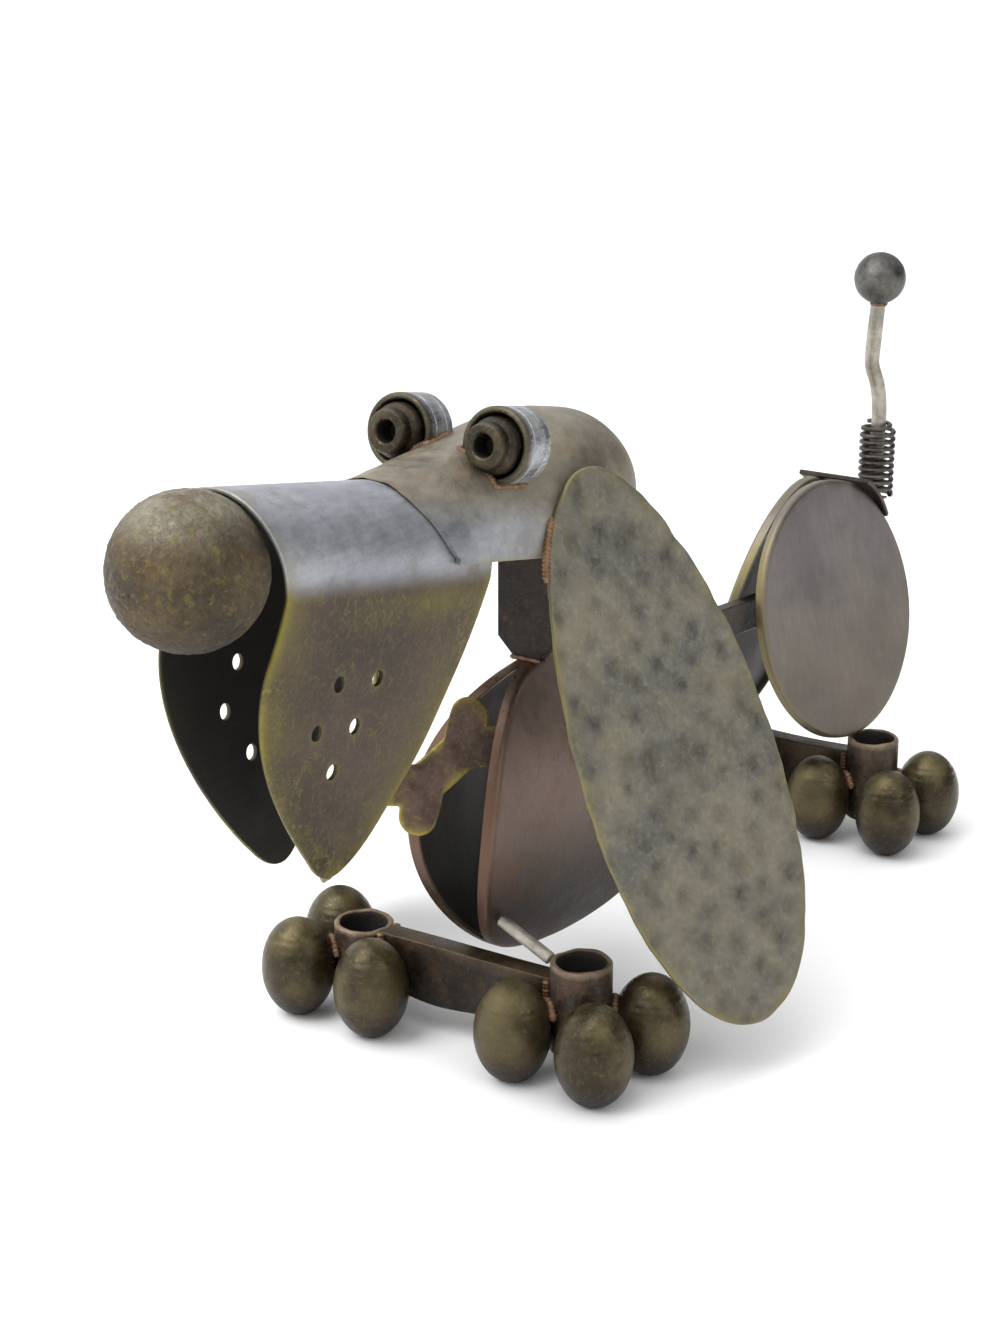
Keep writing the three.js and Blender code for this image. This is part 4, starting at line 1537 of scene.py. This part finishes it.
@dataclass
class LegBar:
    """Crescent-shaped bar on edge between the two ankles of a pair."""

    end: str
    depth: float
    dip_x: float
    dip_z: float
    top_z: float
    high_left: float
    high_right: float

    def build(self) -> bpy.types.Object:
        """Makes the bar with its ends scooped to the ankle pipes.

        Returns:
            The mesh object.
        """
        ankles = {side: box_mm(f"{self.end}_ankle_{side.word}") for side in Side}
        reach = float((ankles[Side.LEFT][0][0] + ankles[Side.LEFT][1][0]) / 2)
        outline = np.concatenate([
            bezier([(reach, self.high_left - 12), (reach / 2, self.dip_z + 3), (self.dip_x, self.dip_z)], 18),
            bezier([(self.dip_x, self.dip_z), (-reach * 0.75, self.dip_z - 1),
                    (-reach, self.high_right - 14)], 18),
            [(-reach, self.high_right - 14)],
            bezier([(-reach, self.high_right), (-reach / 2, self.top_z), (0, self.top_z)], 14),
            bezier([(0, self.top_z), (reach / 2, self.top_z), (reach, self.high_left)], 14),
            [(reach, self.high_left)],
        ])
        node = f"{self.end}_leg_bar"
        bar = prism(node + "_look", outline, self.depth, upright(middle(node).y), 0.9)
        cutters = []
        for low, high in ankles.values():
            heart, outer = (low + high) / 2, (high[1] - low[1]) / 2
            line = np.array([(heart[0], heart[1], z) for z in (-20.0, 40.0, 100.0)])
            cutters.append(loft("ankle_room", swept(line, outer + 0.3, 64)))
        cut(bar, cutters)
        spots = positions(bar)
        mark(bar, zone=smoothstep(self.top_z - 12, self.top_z, spots[:, 2]),
             edge=0.5 * smoothstep(self.top_z - 2.5, self.top_z, spots[:, 2]))
        return bar


# ---------------------------------------------------------------- small pieces


@dataclass
class NeckBar:
    """Flat bar standing on the chest with its lower corners cut off."""

    bevel: float = 9.0

    def build(self) -> bpy.types.Object:
        """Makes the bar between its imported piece's corners.

        Returns:
            The mesh object.
        """
        low, high = box_mm("neck_bar")
        x0, z0, x1, z1, b = low[0], low[2], high[0], high[2], self.bevel
        outline = np.array([(x0 + b, z0), (x1 - b, z0), (x1, z0 + b), (x1, z1), (x0, z1), (x0, z0 + b)])
        bar = prism("neck_bar_look", outline, high[1] - low[1], upright(middle("neck_bar").y), 0.8)
        mark(bar, heat=0.4 * smoothstep(z0 + 14, z0, positions(bar)[:, 2]))
        return bar


@dataclass
class SpineBar:
    """Straight flat bar from the chest discs to the haunch discs."""

    length: float = 246.8
    tall: float = 18.0
    slope: float = -4.65

    def build(self) -> bpy.types.Object:
        """Makes the sloping bar.

        Returns:
            The mesh object.
        """
        low, high = box_mm("spine_bar")
        half, rise = self.length / 2, self.tall / 2
        outline = np.array([(-half, -rise), (half, -rise), (half, rise), (-half, rise)])
        tip = math.radians(self.slope)
        along, up = Vector((0, math.cos(tip), math.sin(tip))), Vector((0, -math.sin(tip), math.cos(tip)))
        place = basis(middle("spine_bar"), along, up, along.cross(up))
        return prism("spine_bar_look", outline, high[0] - low[0], place, 0.8)


@dataclass
class BoneTag:
    """Bone-shaped plate: two lobes at each end of a waist."""

    half_length: float = 25.0
    lobe: float = 12.0
    waist: float = 11.5
    thickness: float = 3.0
    along: tuple[float, float, float] = (29.0, 38.0, 38.0)
    face: tuple[float, float, float] = (0.52, -0.79, 0.33)

    def outline(self) -> np.ndarray:
        """The bone's edge, walked once round: the farthest of four lobes and a waist at each angle."""
        turn = np.linspace(0.0, 2 * math.pi, 240, endpoint=False)
        radius = self.lobe * 0.82
        waist = (self.waist - 1.5) / np.maximum(np.abs(np.sin(turn)), 1e-3)
        reach = np.where(np.abs(waist * np.cos(turn)) < self.half_length, waist, 0.0)
        for x in (-self.half_length, self.half_length):
            for y in (-0.8 * self.lobe, 0.8 * self.lobe):
                along = x * np.cos(turn) + y * np.sin(turn)
                aside = x * np.sin(turn) - y * np.cos(turn)
                lobe = along + np.sqrt(np.maximum(radius**2 - aside**2, 0.0))
                reach = np.maximum(reach, np.where(np.abs(aside) < radius, lobe, 0.0))
        for _ in range(4):
            reach = (np.roll(reach, 1) + 2 * reach + np.roll(reach, -1)) / 4
        return np.stack([reach * np.cos(turn), reach * np.sin(turn)], axis=1)

    def build(self) -> bpy.types.Object:
        """Makes the tag with its worn bright rim.

        Returns:
            The mesh object.
        """
        along = Vector(self.along).normalized()
        front = Vector(self.face)
        front = (front - along * front.dot(along)).normalized()
        rings = plate(self.outline(), self.thickness, 26)
        margin = np.linalg.norm(rings[..., :2] - rings[len(rings) // 2, :, :2], axis=2)
        axes = basis(Vector((0, 0, 0)), along, front.cross(along), front)
        points = seated(moved(rings.reshape(-1, 3), axes), "bone_tag")
        return loft("bone_tag_look", points.reshape(rings.shape), ROUND_CREASE, edge=np.exp(-margin / 2.2))


@dataclass
class TailBridge:
    """Curved strip across both haunch rims that carries the spring."""

    radius: float = 77.2
    thickness: float = 3.0
    start: float = 33.0
    stop: float = 64.0

    def build(self) -> bpy.types.Object:
        """Makes the curved strip.

        Returns:
            The mesh object.
        """
        low, high = box_mm("tail_bridge")
        turn = np.radians(np.linspace(self.start, self.stop, 26))
        rim = self.radius + self.thickness
        outer = np.stack([rim * np.cos(turn), rim * np.sin(turn)], axis=1)
        inner = np.stack([self.radius * np.cos(turn), self.radius * np.sin(turn)], axis=1)[::-1]
        outline = np.concatenate([outer, inner])
        outline += (low[1:] + high[1:]) / 2 - (outline.min(axis=0) + outline.max(axis=0)) / 2
        place = basis(Vector((0, 0, 0)), Vector((0, 1, 0)), Vector((0, 0, 1)), Vector((1, 0, 0)))
        return prism("tail_bridge_look", outline, high[0] - low[0], place, 0.7)


# ---------------------------------------------------------------- geometry node tools


class NodeTool:
    """A Geometry Nodes tree with named inputs, run once on an object."""

    def __init__(self, name: str, inputs: dict[str, tuple[str, object]]) -> None:
        """Starts the tree.

        Args:
            name: Name of the tree.
            inputs: Socket type and default value by input name.
        """
        self.tree = bpy.data.node_groups.new(name, "GeometryNodeTree")
        self.tree.interface.new_socket(name="Geometry", in_out="INPUT", socket_type="NodeSocketGeometry")
        for label, (kind, value) in inputs.items():
            socket = self.tree.interface.new_socket(name=label, in_out="INPUT", socket_type=kind)
            if value is not None:
                socket.default_value = value
        self.tree.interface.new_socket(name="Geometry", in_out="OUTPUT", socket_type="NodeSocketGeometry")
        self.wire = Wiring(self.tree)
        self.source = self.wire.node("NodeGroupInput")

    def given(self, label: str) -> bpy.types.NodeSocket:
        """Output of the group input by its name."""
        return self.source.outputs[label]

    def close(self, geometry: bpy.types.NodeSocket) -> None:
        """Ends the tree in Realize Instances and Set Material.

        Args:
            geometry: What the tree has made.
        """
        real = self.wire.node("GeometryNodeRealizeInstances", {"Geometry": geometry})
        dress = self.wire.node("GeometryNodeSetMaterial",
                               {"Geometry": real.outputs[0], "Material": self.given("Material")})
        self.wire.node("NodeGroupOutput", {0: dress.outputs[0]})

    def skin(self, line: bpy.types.NodeSocket, radius: str, sides: int, **scale: object) -> None:
        """Sweeps a round section along a curve, caps it and ends the tree.

        Args:
            line: Curve that is followed.
            radius: Name of the group input with the section's radius.
            sides: Points round the section.
            **scale: Optional Scale socket of the section along the curve.
        """
        ring = self.wire.node("GeometryNodeCurvePrimitiveCircle",
                              {"Resolution": sides, "Radius": self.given(radius)})
        feeds = {"Curve": line, "Profile Curve": ring.outputs[0], **scale, "Fill Caps": True}
        self.close(self.wire.node("GeometryNodeCurveToMesh", feeds).outputs[0])

    def run(self, obj: bpy.types.Object, **values: object) -> bpy.types.Object:
        """Runs the tree on an object and keeps the plain mesh.

        Args:
            obj: Object that carries the tree while it runs.
            **values: Input values by name, underscores standing for spaces.

        Returns:
            The same object with the result as its mesh.
        """
        step = obj.modifiers.new(self.tree.name, "NODES")
        step.node_group = self.tree
        names = {item.name: item.identifier for item in self.tree.interface.items_tree
                 if item.in_out == "INPUT"}
        for key, value in values.items():
            step[names[key.replace("_", " ")]] = value
        plain(obj)
        obj.data.polygons.foreach_set("use_smooth", [True] * len(obj.data.polygons))
        mark(obj)
        return obj


def coil_tool() -> NodeTool:
    """Tree that winds a spring: a line bent into a helix whose top turn closes in, then swept."""
    tool = NodeTool("wound_spring", {
        "Coil Radius": ("NodeSocketFloat", 0.0096), "Top Radius": ("NodeSocketFloat", 0.0062),
        "Wire Radius": ("NodeSocketFloat", 0.0014), "Turns": ("NodeSocketFloat", 10.5),
        "Pitch": ("NodeSocketFloat", 0.0042), "Closing Turns": ("NodeSocketFloat", 1.2),
        "Steps": ("NodeSocketInt", 700), "Centre": ("NodeSocketVector", None),
        "Material": ("NodeSocketMaterial", None),
    })
    wire = tool.wire
    line = wire.node("GeometryNodeCurvePrimitiveLine")
    many = wire.node("GeometryNodeResampleCurve", {"Curve": line.outputs[0], "Count": tool.given("Steps")})
    part = wire.node("GeometryNodeSplineParameter").outputs["Factor"]
    turns = wire.math("MULTIPLY", part, tool.given("Turns"))
    angle = wire.math("MULTIPLY", turns, 2 * math.pi)
    left = wire.math("SUBTRACT", tool.given("Turns"), turns)
    radius = wire.spread(left, 0.0, tool.given("Closing Turns"), tool.given("Top Radius"),
                         tool.given("Coil Radius"))
    spot = wire.node("ShaderNodeCombineXYZ", {
        0: wire.math("MULTIPLY", radius, wire.math("COSINE", angle)),
        1: wire.math("MULTIPLY", radius, wire.math("SINE", angle)),
        2: wire.math("MULTIPLY", turns, tool.given("Pitch")),
    })
    there = wire.node("ShaderNodeVectorMath", {0: spot.outputs[0], 1: tool.given("Centre")}, operation="ADD")
    bend = wire.node("GeometryNodeSetPosition", {"Geometry": many.outputs[0], "Position": there.outputs[0]})
    tool.skin(bend.outputs[0], "Wire Radius", 14)
    return tool


def bead_tool() -> NodeTool:
    """Tree that lays a rippled weld bead along every line of a mesh of edges."""
    tool = NodeTool("weld_bead", {
        "Bead Radius": ("NodeSocketFloat", 0.0018), "Ripple Pitch": ("NodeSocketFloat", 0.0019),
        "Ripple": ("NodeSocketFloat", 0.14), "Wander": ("NodeSocketFloat", 0.35),
        "Seed": ("NodeSocketFloat", 3.0),
        "Step": ("NodeSocketFloat", 0.0005), "Material": ("NodeSocketMaterial", None),
    })
    wire = tool.wire
    lines = wire.node("GeometryNodeMeshToCurve", {0: tool.given("Geometry")})
    many = wire.node("GeometryNodeResampleCurve", {"Curve": lines.outputs[0], "Length": tool.given("Step")},
                     mode="LENGTH")
    place = wire.node("GeometryNodeSplineParameter")
    phase = wire.math("MULTIPLY", wire.math("DIVIDE", place.outputs["Length"], tool.given("Ripple Pitch")),
                      2 * math.pi)
    wave = wire.math("MULTIPLY", wire.math("SINE", phase), tool.given("Ripple"))
    position = wire.node("GeometryNodeInputPosition").outputs[0]
    lump = wire.node("ShaderNodeTexNoise",
                     {"Vector": position, "W": tool.given("Seed"), "Scale": 160.0, "Detail": 2.0},
                     noise_dimensions="4D")
    wander = wire.math("MULTIPLY", tool.given("Wander"), 2.4)
    uneven = wire.math("MULTIPLY", wire.math("SUBTRACT", lump.outputs[0], 0.5), wander)
    ends = wire.math("MULTIPLY", wire.math("MULTIPLY", place.outputs["Factor"],
                                           wire.math("SUBTRACT", 1.0, place.outputs["Factor"])), 16.0)
    taper = wire.math("ADD", 0.45, wire.math("MULTIPLY", wire.math("MINIMUM", ends, 1.0), 0.55))
    scale = wire.math("MULTIPLY", wire.math("ADD", wire.math("ADD", wave, uneven), 1.0), taper)
    tool.skin(many.outputs[0], "Bead Radius", 10, Scale=scale)
    return tool


def line_object(name: str, lines: list[np.ndarray]) -> bpy.types.Object:
    """A mesh of bare edges.

    Args:
        name: Name of the object.
        lines: Open lines of N x 3 positions in millimetres.

    Returns:
        The linked object.
    """
    points = np.concatenate(lines) * MM
    edges, base = [], 0
    for line in lines:
        edges += [(base + k, base + k + 1) for k in range(len(line) - 1)]
        base += len(line)
    mesh = bpy.data.meshes.new(name)
    mesh.from_pydata(points.tolist(), edges, [])
    return linked(name, mesh)


# ---------------------------------------------------------------- tail


@dataclass
class Tail:
    """Spring on the bridge, kinked rod and end ball."""

    wire: float = 1.4
    coil: float = 9.6
    turns: float = 10.5
    pitch: float = 4.2
    rod: float = 4.5
    gap: float = 0.3
    lean: float = -8.0
    kink: float = -3.6
    bends: tuple[tuple[float, float, float], ...] = (
        (0.3, 0.3, 0.15), (0.46, 1.0, 0.55), (0.56, 1.0, 0.75), (0.8, 0.4, 0.95))

    def base(self) -> Vector:
        """Where the spring's axis starts, in millimetres."""
        low, _ = box_mm("tail_spring")
        centre = middle("tail_spring")
        return Vector((centre.x, centre.y, low[2] + self.wire))

    def spring(self, shop: "Workshop") -> bpy.types.Object:
        """Winds the spring.

        Args:
            shop: Workshop with the finishes.

        Returns:
            The mesh object.
        """
        obj = line_object("tail_spring_look", [np.zeros((2, 3)) + [[0, 0, 0], [0, 0, 1]]])
        coil_tool().run(
            obj, Coil_Radius=self.coil * MM, Top_Radius=(self.rod + self.wire + self.gap) * MM,
            Wire_Radius=self.wire * MM, Turns=self.turns, Pitch=self.pitch * MM,
            Centre=tuple(self.base() * MM), Material=shop.materials["spring_wire"])
        tidy_mesh(obj.data, ROUND_CREASE)
        return obj

    def bar(self) -> bpy.types.Object:
        """Makes the rod with its kink.

        Returns:
            The mesh object.
        """
        low, high = box_mm("tail_rod")
        base = np.array(self.base())
        spring_top = base[2] + self.turns * self.pitch
        stops = [(0.0, 0.0, low[2]), (0.0, 0.0, spring_top + 6)]
        for part, bend, lean in self.bends:
            stops.append((self.kink * bend, self.lean * lean, spring_top + (high[2] - spring_top) * part))
        stops.append((0.0, self.lean, high[2]))
        line = np.array(stops) + (base[0], base[1], 0.0)
        smooth = smooth_line(line, 1.6)
        rings = swept(smooth, self.rod, 32)
        points = rings.reshape(-1, 3)
        points[:, :2] += 0.12 * waves(points, 30.0, 2)[:, None]
        return loft("tail_rod_look", points.reshape(rings.shape), 40.0)


def smooth_line(stops: np.ndarray, step: float) -> np.ndarray:
    """Catmull-Rom curve through some stops.

    Args:
        stops: N x 3 positions.
        step: Spacing of the result.

    Returns:
        Evenly spaced positions.
    """
    padded = np.concatenate([[2 * stops[0] - stops[1]], stops, [2 * stops[-1] - stops[-2]]])
    parts = []
    for p0, p1, p2, p3 in zip(padded, padded[1:], padded[2:], padded[3:]):
        t = np.linspace(0.0, 1.0, 16, endpoint=False)[:, None]
        parts.append(0.5 * (2 * p1 + (p2 - p0) * t + (2 * p0 - 5 * p1 + 4 * p2 - p3) * t**2
                            + (3 * p1 - p0 - 3 * p2 + p3) * t**3))
    return resampled(np.concatenate([*parts, stops[-1:]]), step)


@dataclass
class PropRod:
    """Short round rod leaning from a chest disc down to the near ankle."""

    radius: float = 3.2

    def build(self) -> bpy.types.Object:
        """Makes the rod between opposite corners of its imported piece.

        Returns:
            The mesh object.
        """
        low, high = box_mm("prop_rod")
        r = self.radius
        top = np.array([low[0] + r * 0.4, high[1] - r, high[2] - r])
        foot = np.array([high[0] - r * 0.4, low[1] + r, low[2] + r])
        rings = swept(resampled(np.array([top, foot]), 2.0), r, 28)
        return loft("prop_rod_look", rings, 40.0)


# ---------------------------------------------------------------- welds


@dataclass
class Welds:
    """Beads along the joints at the eyes, ears, paws, neck and tail."""

    axes: Matrix
    cap: HeadCap
    step: float = 1.5
    ear_from: float = 16.0
    ear_to: float = 46.0
    ear_in: float = 1.5

    def eye_seat(self, side: Side) -> list[np.ndarray]:
        """Lines round the foot of one eye tube, where it meets the hood."""
        centre = eye_centre(self.axes, side)
        radius = Eye(self.axes, side).radius + 0.5
        lines: list[list[tuple[float, float, float]]] = [[], []]
        for along in np.linspace(centre[1] + 9.0, centre[1] - 10.0, 12):
            sunk = []
            for turn in np.linspace(math.pi, 2 * math.pi, 181):
                x, z = centre[0] + radius * math.cos(turn), centre[2] + radius * math.sin(turn)
                if z < self.cap.height(x, along):
                    sunk.append((x, along, z))
            if sunk:
                lines[0].append(sunk[0])
                lines[1].append(sunk[-1])
        front = [p for p in np.linspace(lines[0][-1], lines[1][-1], 9)]
        front = [np.array([p[0], p[1] - 1.0, self.cap.height(p[0], p[1] - 1.0) + 0.4]) for p in front]
        path = np.array([*lines[0], *front, *lines[1][::-1]])
        return [moved(path, self.axes)]

    def ear_seams(self) -> list[np.ndarray]:
        """Beads along each ear's front edge, where it touches the hood's side."""
        return [Ear(side).front_edge(self.ear_from, self.ear_to) - (side.value * self.ear_in, 0.0, 0.0)
                for side in Side]

    def paw_seams(self) -> list[np.ndarray]:
        """Beads in the grooves between each toe and its ankle pipe, and round the bar's ends."""
        paths = []
        for end in ("front", "rear"):
            bar_low, bar_high = box_mm(f"{end}_leg_bar")
            for side in Side:
                low, high = box_mm(f"{end}_ankle_{side.word}")
                heart, outer = (low + high) / 2, (high[1] - low[1]) / 2
                for toe in ("inner", "outer", "back"):
                    toe_low, toe_high = box_mm(f"{end}_toe_{toe}_{side.word}")
                    centre = (toe_low + toe_high) / 2
                    way = (centre - heart)[:2] / np.linalg.norm((centre - heart)[:2])
                    aside = np.array([-way[1], way[0]])
                    level = toe_high[2] / 2
                    lift = np.linspace(-1.0, 1.0, 15)
                    z = level + 13.0 - 7.0 * lift**2
                    gap = outer + 1.2 - 0.5 * lift**2
                    line = heart[:2] + way * gap[:, None] + aside * (8.0 * lift)[:, None]
                    paths.append(np.c_[line, z])
                face = -side.value
                x = heart[0] + face * (outer + 0.4)
                for y in (bar_low[1] - 0.4, bar_high[1] + 0.4):
                    z = np.linspace(bar_high[2] - 13.0, bar_high[2] - 1.0, 10)
                    paths.append(np.stack([np.full(10, x), np.full(10, y), z], axis=1))
        return paths

    def body_seams(self) -> list[np.ndarray]:
        """Beads at the foot of the neck bar, round the spring's foot on the bridge and where the rod meets
        the tail ball.
        """
        paths = []
        low, high = box_mm("neck_bar")
        for y in (low[1] - 0.3, high[1] + 0.3):
            x = np.linspace(low[0] + 8, high[0] - 8, 16)
            paths.append(np.stack([x, np.full(16, y), np.full(16, low[2] - 0.2)], axis=1))
        base = Tail().base()
        turn = np.linspace(0.0, 1.9 * math.pi, 40)
        ring = Tail().coil
        paths.append(np.stack([base.x + ring * np.cos(turn), base.y + ring * np.sin(turn),
                               np.full(40, base.z - 0.8)], axis=1))
        low, high = box_mm("tail_rod")
        ball = middle("tail_ball")
        top = high[2] + 0.2
        neck = Tail().rod - 0.6
        paths.append(np.stack([ball.x + neck * np.cos(turn), ball.y + neck * np.sin(turn),
                               np.full(40, top)], axis=1))
        return paths

    def build(self, shop: Workshop) -> None:
        """Lays all the beads and lets them ride.

        Args:
            shop: Workshop with the finishes.
        """
        beads = bead_tool()
        groups = {
            "weld_eye_seats": ([*self.eye_seat(Side.LEFT), *self.eye_seat(Side.RIGHT)], 1.7, "cap_steel"),
            "weld_ear_seams": (self.ear_seams(), 2.0, "ear_steel"),
            "weld_paw_seams": (self.paw_seams(), 2.1, "dark_tube"),
            "weld_body_seams": (self.body_seams(), 1.3, "dark_bar"),
        }
        for number, (name, (paths, radius, slot)) in enumerate(groups.items()):
            obj = line_object(name, [resampled(path, self.step) for path in paths])
            beads.run(obj, Bead_Radius=radius * MM, Ripple_Pitch=radius * MM, Seed=float(number),
                      Material=shop.materials["weld"])
            shop.add(obj, slot)


# ---------------------------------------------------------------- studio


@dataclass
class Studio:
    """Pale floor, soft lights and the camera."""

    floor_size: float = 60.0
    floor_tone: str = "f7f6f5"
    eye: tuple[float, float, float] = (0.615, -0.994, 0.556)
    yaw: float = 33.68
    pitch: float = 18.36
    lens: float = 86.4
    bright_side: tuple[float, float, float] = (-0.57, -0.21, 0.79)
    sensor: float = 36.0

    def floor(self) -> None:
        """Lays the plain pale floor under the paws."""
        half = self.floor_size / 2
        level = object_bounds()[0].z
        mesh = bpy.data.meshes.new("studio_floor")
        corners = [(-half, -half, level), (half, -half, level), (half, half, level), (-half, half, level)]
        mesh.from_pydata(corners, [], [(0, 1, 2, 3)])
        obj = linked("studio_floor", mesh)
        material = bpy.data.materials.new("pale_floor")
        material.use_nodes = True
        wire = Wiring(material.node_tree)
        shader = material.node_tree.nodes["Principled BSDF"]
        place = wire.node("ShaderNodeTexCoord").outputs["Object"]
        cloud = wire.spread(wire.noise(place, 0.8, 3.0), 0.3, 0.7)
        wire.feed(shader.inputs["Base Color"], wire.mix(cloud, linear(self.floor_tone), linear("fbfaf9")))
        shader.inputs["Roughness"].default_value = 0.8
        mesh.materials.append(material)
        obj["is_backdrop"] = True

    def lamp(self, name: str, place: tuple[float, float, float], size: float, power: float) -> None:
        """Hangs a square soft light that looks at the middle of the dog.

        Args:
            name: Name of the light.
            place: Where it hangs, in metres.
            size: Side of the light.
            power: Power in watts.
        """
        light = bpy.data.lights.new(name, "AREA")
        light.size = size
        light.energy = power
        obj = linked(name, light)
        obj.location = place
        obj.rotation_euler = (Vector((0.0, 0.0, 0.15)) - Vector(place)).to_track_quat("-Z", "Y").to_euler()

    def sun(self, name: str, place: tuple[float, float, float], power: float, spread: float) -> None:
        """Sets a broad even light.

        Args:
            name: Name of the light.
            place: Point it shines from toward the origin, in metres.
            power: Strength in watts a square metre.
            spread: Width of its disc in degrees.
        """
        light = bpy.data.lights.new(name, "SUN")
        light.energy = power
        light.angle = math.radians(spread)
        obj = linked(name, light)
        obj.rotation_euler = (-Vector(place)).to_track_quat("-Z", "Y").to_euler()

    def build(self) -> None:
        """Sets the floor, the lights, the surroundings and the camera."""
        self.floor()
        self.sun("broad_light", (-0.5, -0.7, 1.9), 1.3, 50.0)
        self.lamp("key_light", (-0.9, -1.5, 1.9), 1.3, 15.0)
        self.lamp("side_light", (1.9, -0.4, 1.2), 1.2, 8.0)
        world = bpy.data.worlds.new("soft_surroundings")
        world.use_nodes = True
        wire = Wiring(world.node_tree)
        sky = world.node_tree.nodes["Background"]
        sky.inputs["Color"].default_value = (0.93, 0.94, 0.96, 1.0)
        way = wire.node("ShaderNodeTexCoord").outputs["Generated"]
        toward = wire.node("ShaderNodeVectorMath", {0: way, 1: self.bright_side}, operation="DOT_PRODUCT")
        wire.feed(sky.inputs["Strength"], wire.spread(toward.outputs["Value"], -0.35, 0.85, 0.12, 1.5))
        bpy.context.scene.world = world
        camera = bpy.data.cameras.new("studio_camera")
        camera.sensor_fit = "HORIZONTAL"
        camera.sensor_width = self.sensor
        camera.lens = self.lens
        camera.clip_end = 100.0
        obj = linked("studio_camera", camera)
        obj.location = self.eye
        yaw, pitch = math.radians(self.yaw), math.radians(self.pitch)
        look = Vector((-math.sin(yaw) * math.cos(pitch), math.cos(yaw) * math.cos(pitch), -math.sin(pitch)))
        obj.rotation_euler = look.to_track_quat("-Z", "Y").to_euler()
        bpy.context.scene.camera = obj
        bpy.context.scene.view_settings.view_transform = "Standard"


# ---------------------------------------------------------------- the dog


def build_head(shop: Workshop) -> None:
    """Builds nose, muzzle, hood, eyes and ears.

    Args:
        shop: Workshop with the finishes.
    """
    axes = HeadAxes().matrix()
    shop.seat(KnobBall("nose_ball", 6, 0.7, 2.2).build(), "nose_ball")
    shop.seat(MuzzleSheet(axes).build(), "muzzle_sheet")
    cap = HeadCap(axes)
    shop.seat(cap.build(), "head_cap")
    for side in Side:
        eye = Eye(axes, side)
        shop.seat(eye.tube(), f"eye_tube_{side.word}")
        shop.seat(eye.bush(), f"eye_bush_{side.word}")
        shop.seat(Ear(side).build(), f"ear_{side.word}")
    shop.seat(NeckBar().build(), "neck_bar")
    Welds(axes, cap).build(shop)


def build_body(shop: Workshop) -> None:
    """Builds the discs, the hidden bar, the tag, the prop rod and the tail.

    Args:
        shop: Workshop with the finishes.
    """
    for side in Side:
        chest = PanDisc(f"chest_disc_{side.word}", side, radius=78, lip=7, bow=30, lean=8, tilt=0, turn=6)
        haunch = PanDisc(f"haunch_disc_{side.word}", side, radius=77, lip=6, bow=0, lean=0, tilt=13, turn=7)
        for disc in (chest, haunch):
            shop.seat(disc.build(), disc.node)
    shop.seat(SpineBar().build(), "spine_bar")
    shop.seat(BoneTag().build(), "bone_tag")
    shop.seat(PropRod().build(), "prop_rod")
    shop.seat(TailBridge().build(), "tail_bridge")
    tail = Tail()
    shop.seat(tail.spring(shop), "tail_spring")
    shop.seat(tail.bar(), "tail_rod")
    shop.seat(KnobBall("tail_ball", 5, 0.25, 4.0).build(), "tail_ball")


def build_paws(shop: Workshop) -> None:
    """Builds the toes, the ankle pipes and the leg bars.

    Args:
        shop: Workshop with the finishes.
    """
    for end in ("front", "rear"):
        for side in Side:
            for toe in ("inner", "outer", "back"):
                node = f"{end}_toe_{toe}_{side.word}"
                shop.seat(ToeKnob(node).build(), node)
            node = f"{end}_ankle_{side.word}"
            shop.seat(AnklePipe(node).build(), node)
    front = LegBar("front", depth=12, dip_x=-14, dip_z=14, top_z=47, high_left=48, high_right=46)
    rear = LegBar("rear", depth=12, dip_x=0, dip_z=20, top_z=50, high_left=52, high_right=52)
    for bar in (front, rear):
        shop.seat(bar.build(), f"{bar.end}_leg_bar")


def main() -> None:
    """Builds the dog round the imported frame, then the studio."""
    logging.basicConfig(level=logging.INFO, format="%(name)s: %(message)s")
    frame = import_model()
    shop = Workshop({part["node"]: part["material_slot"] for part in frame["record"]["subparts"]})
    shop.open()
    build_head(shop)
    build_body(shop)
    build_paws(shop)
    Studio().build()


if __name__ == "__main__":
    main()
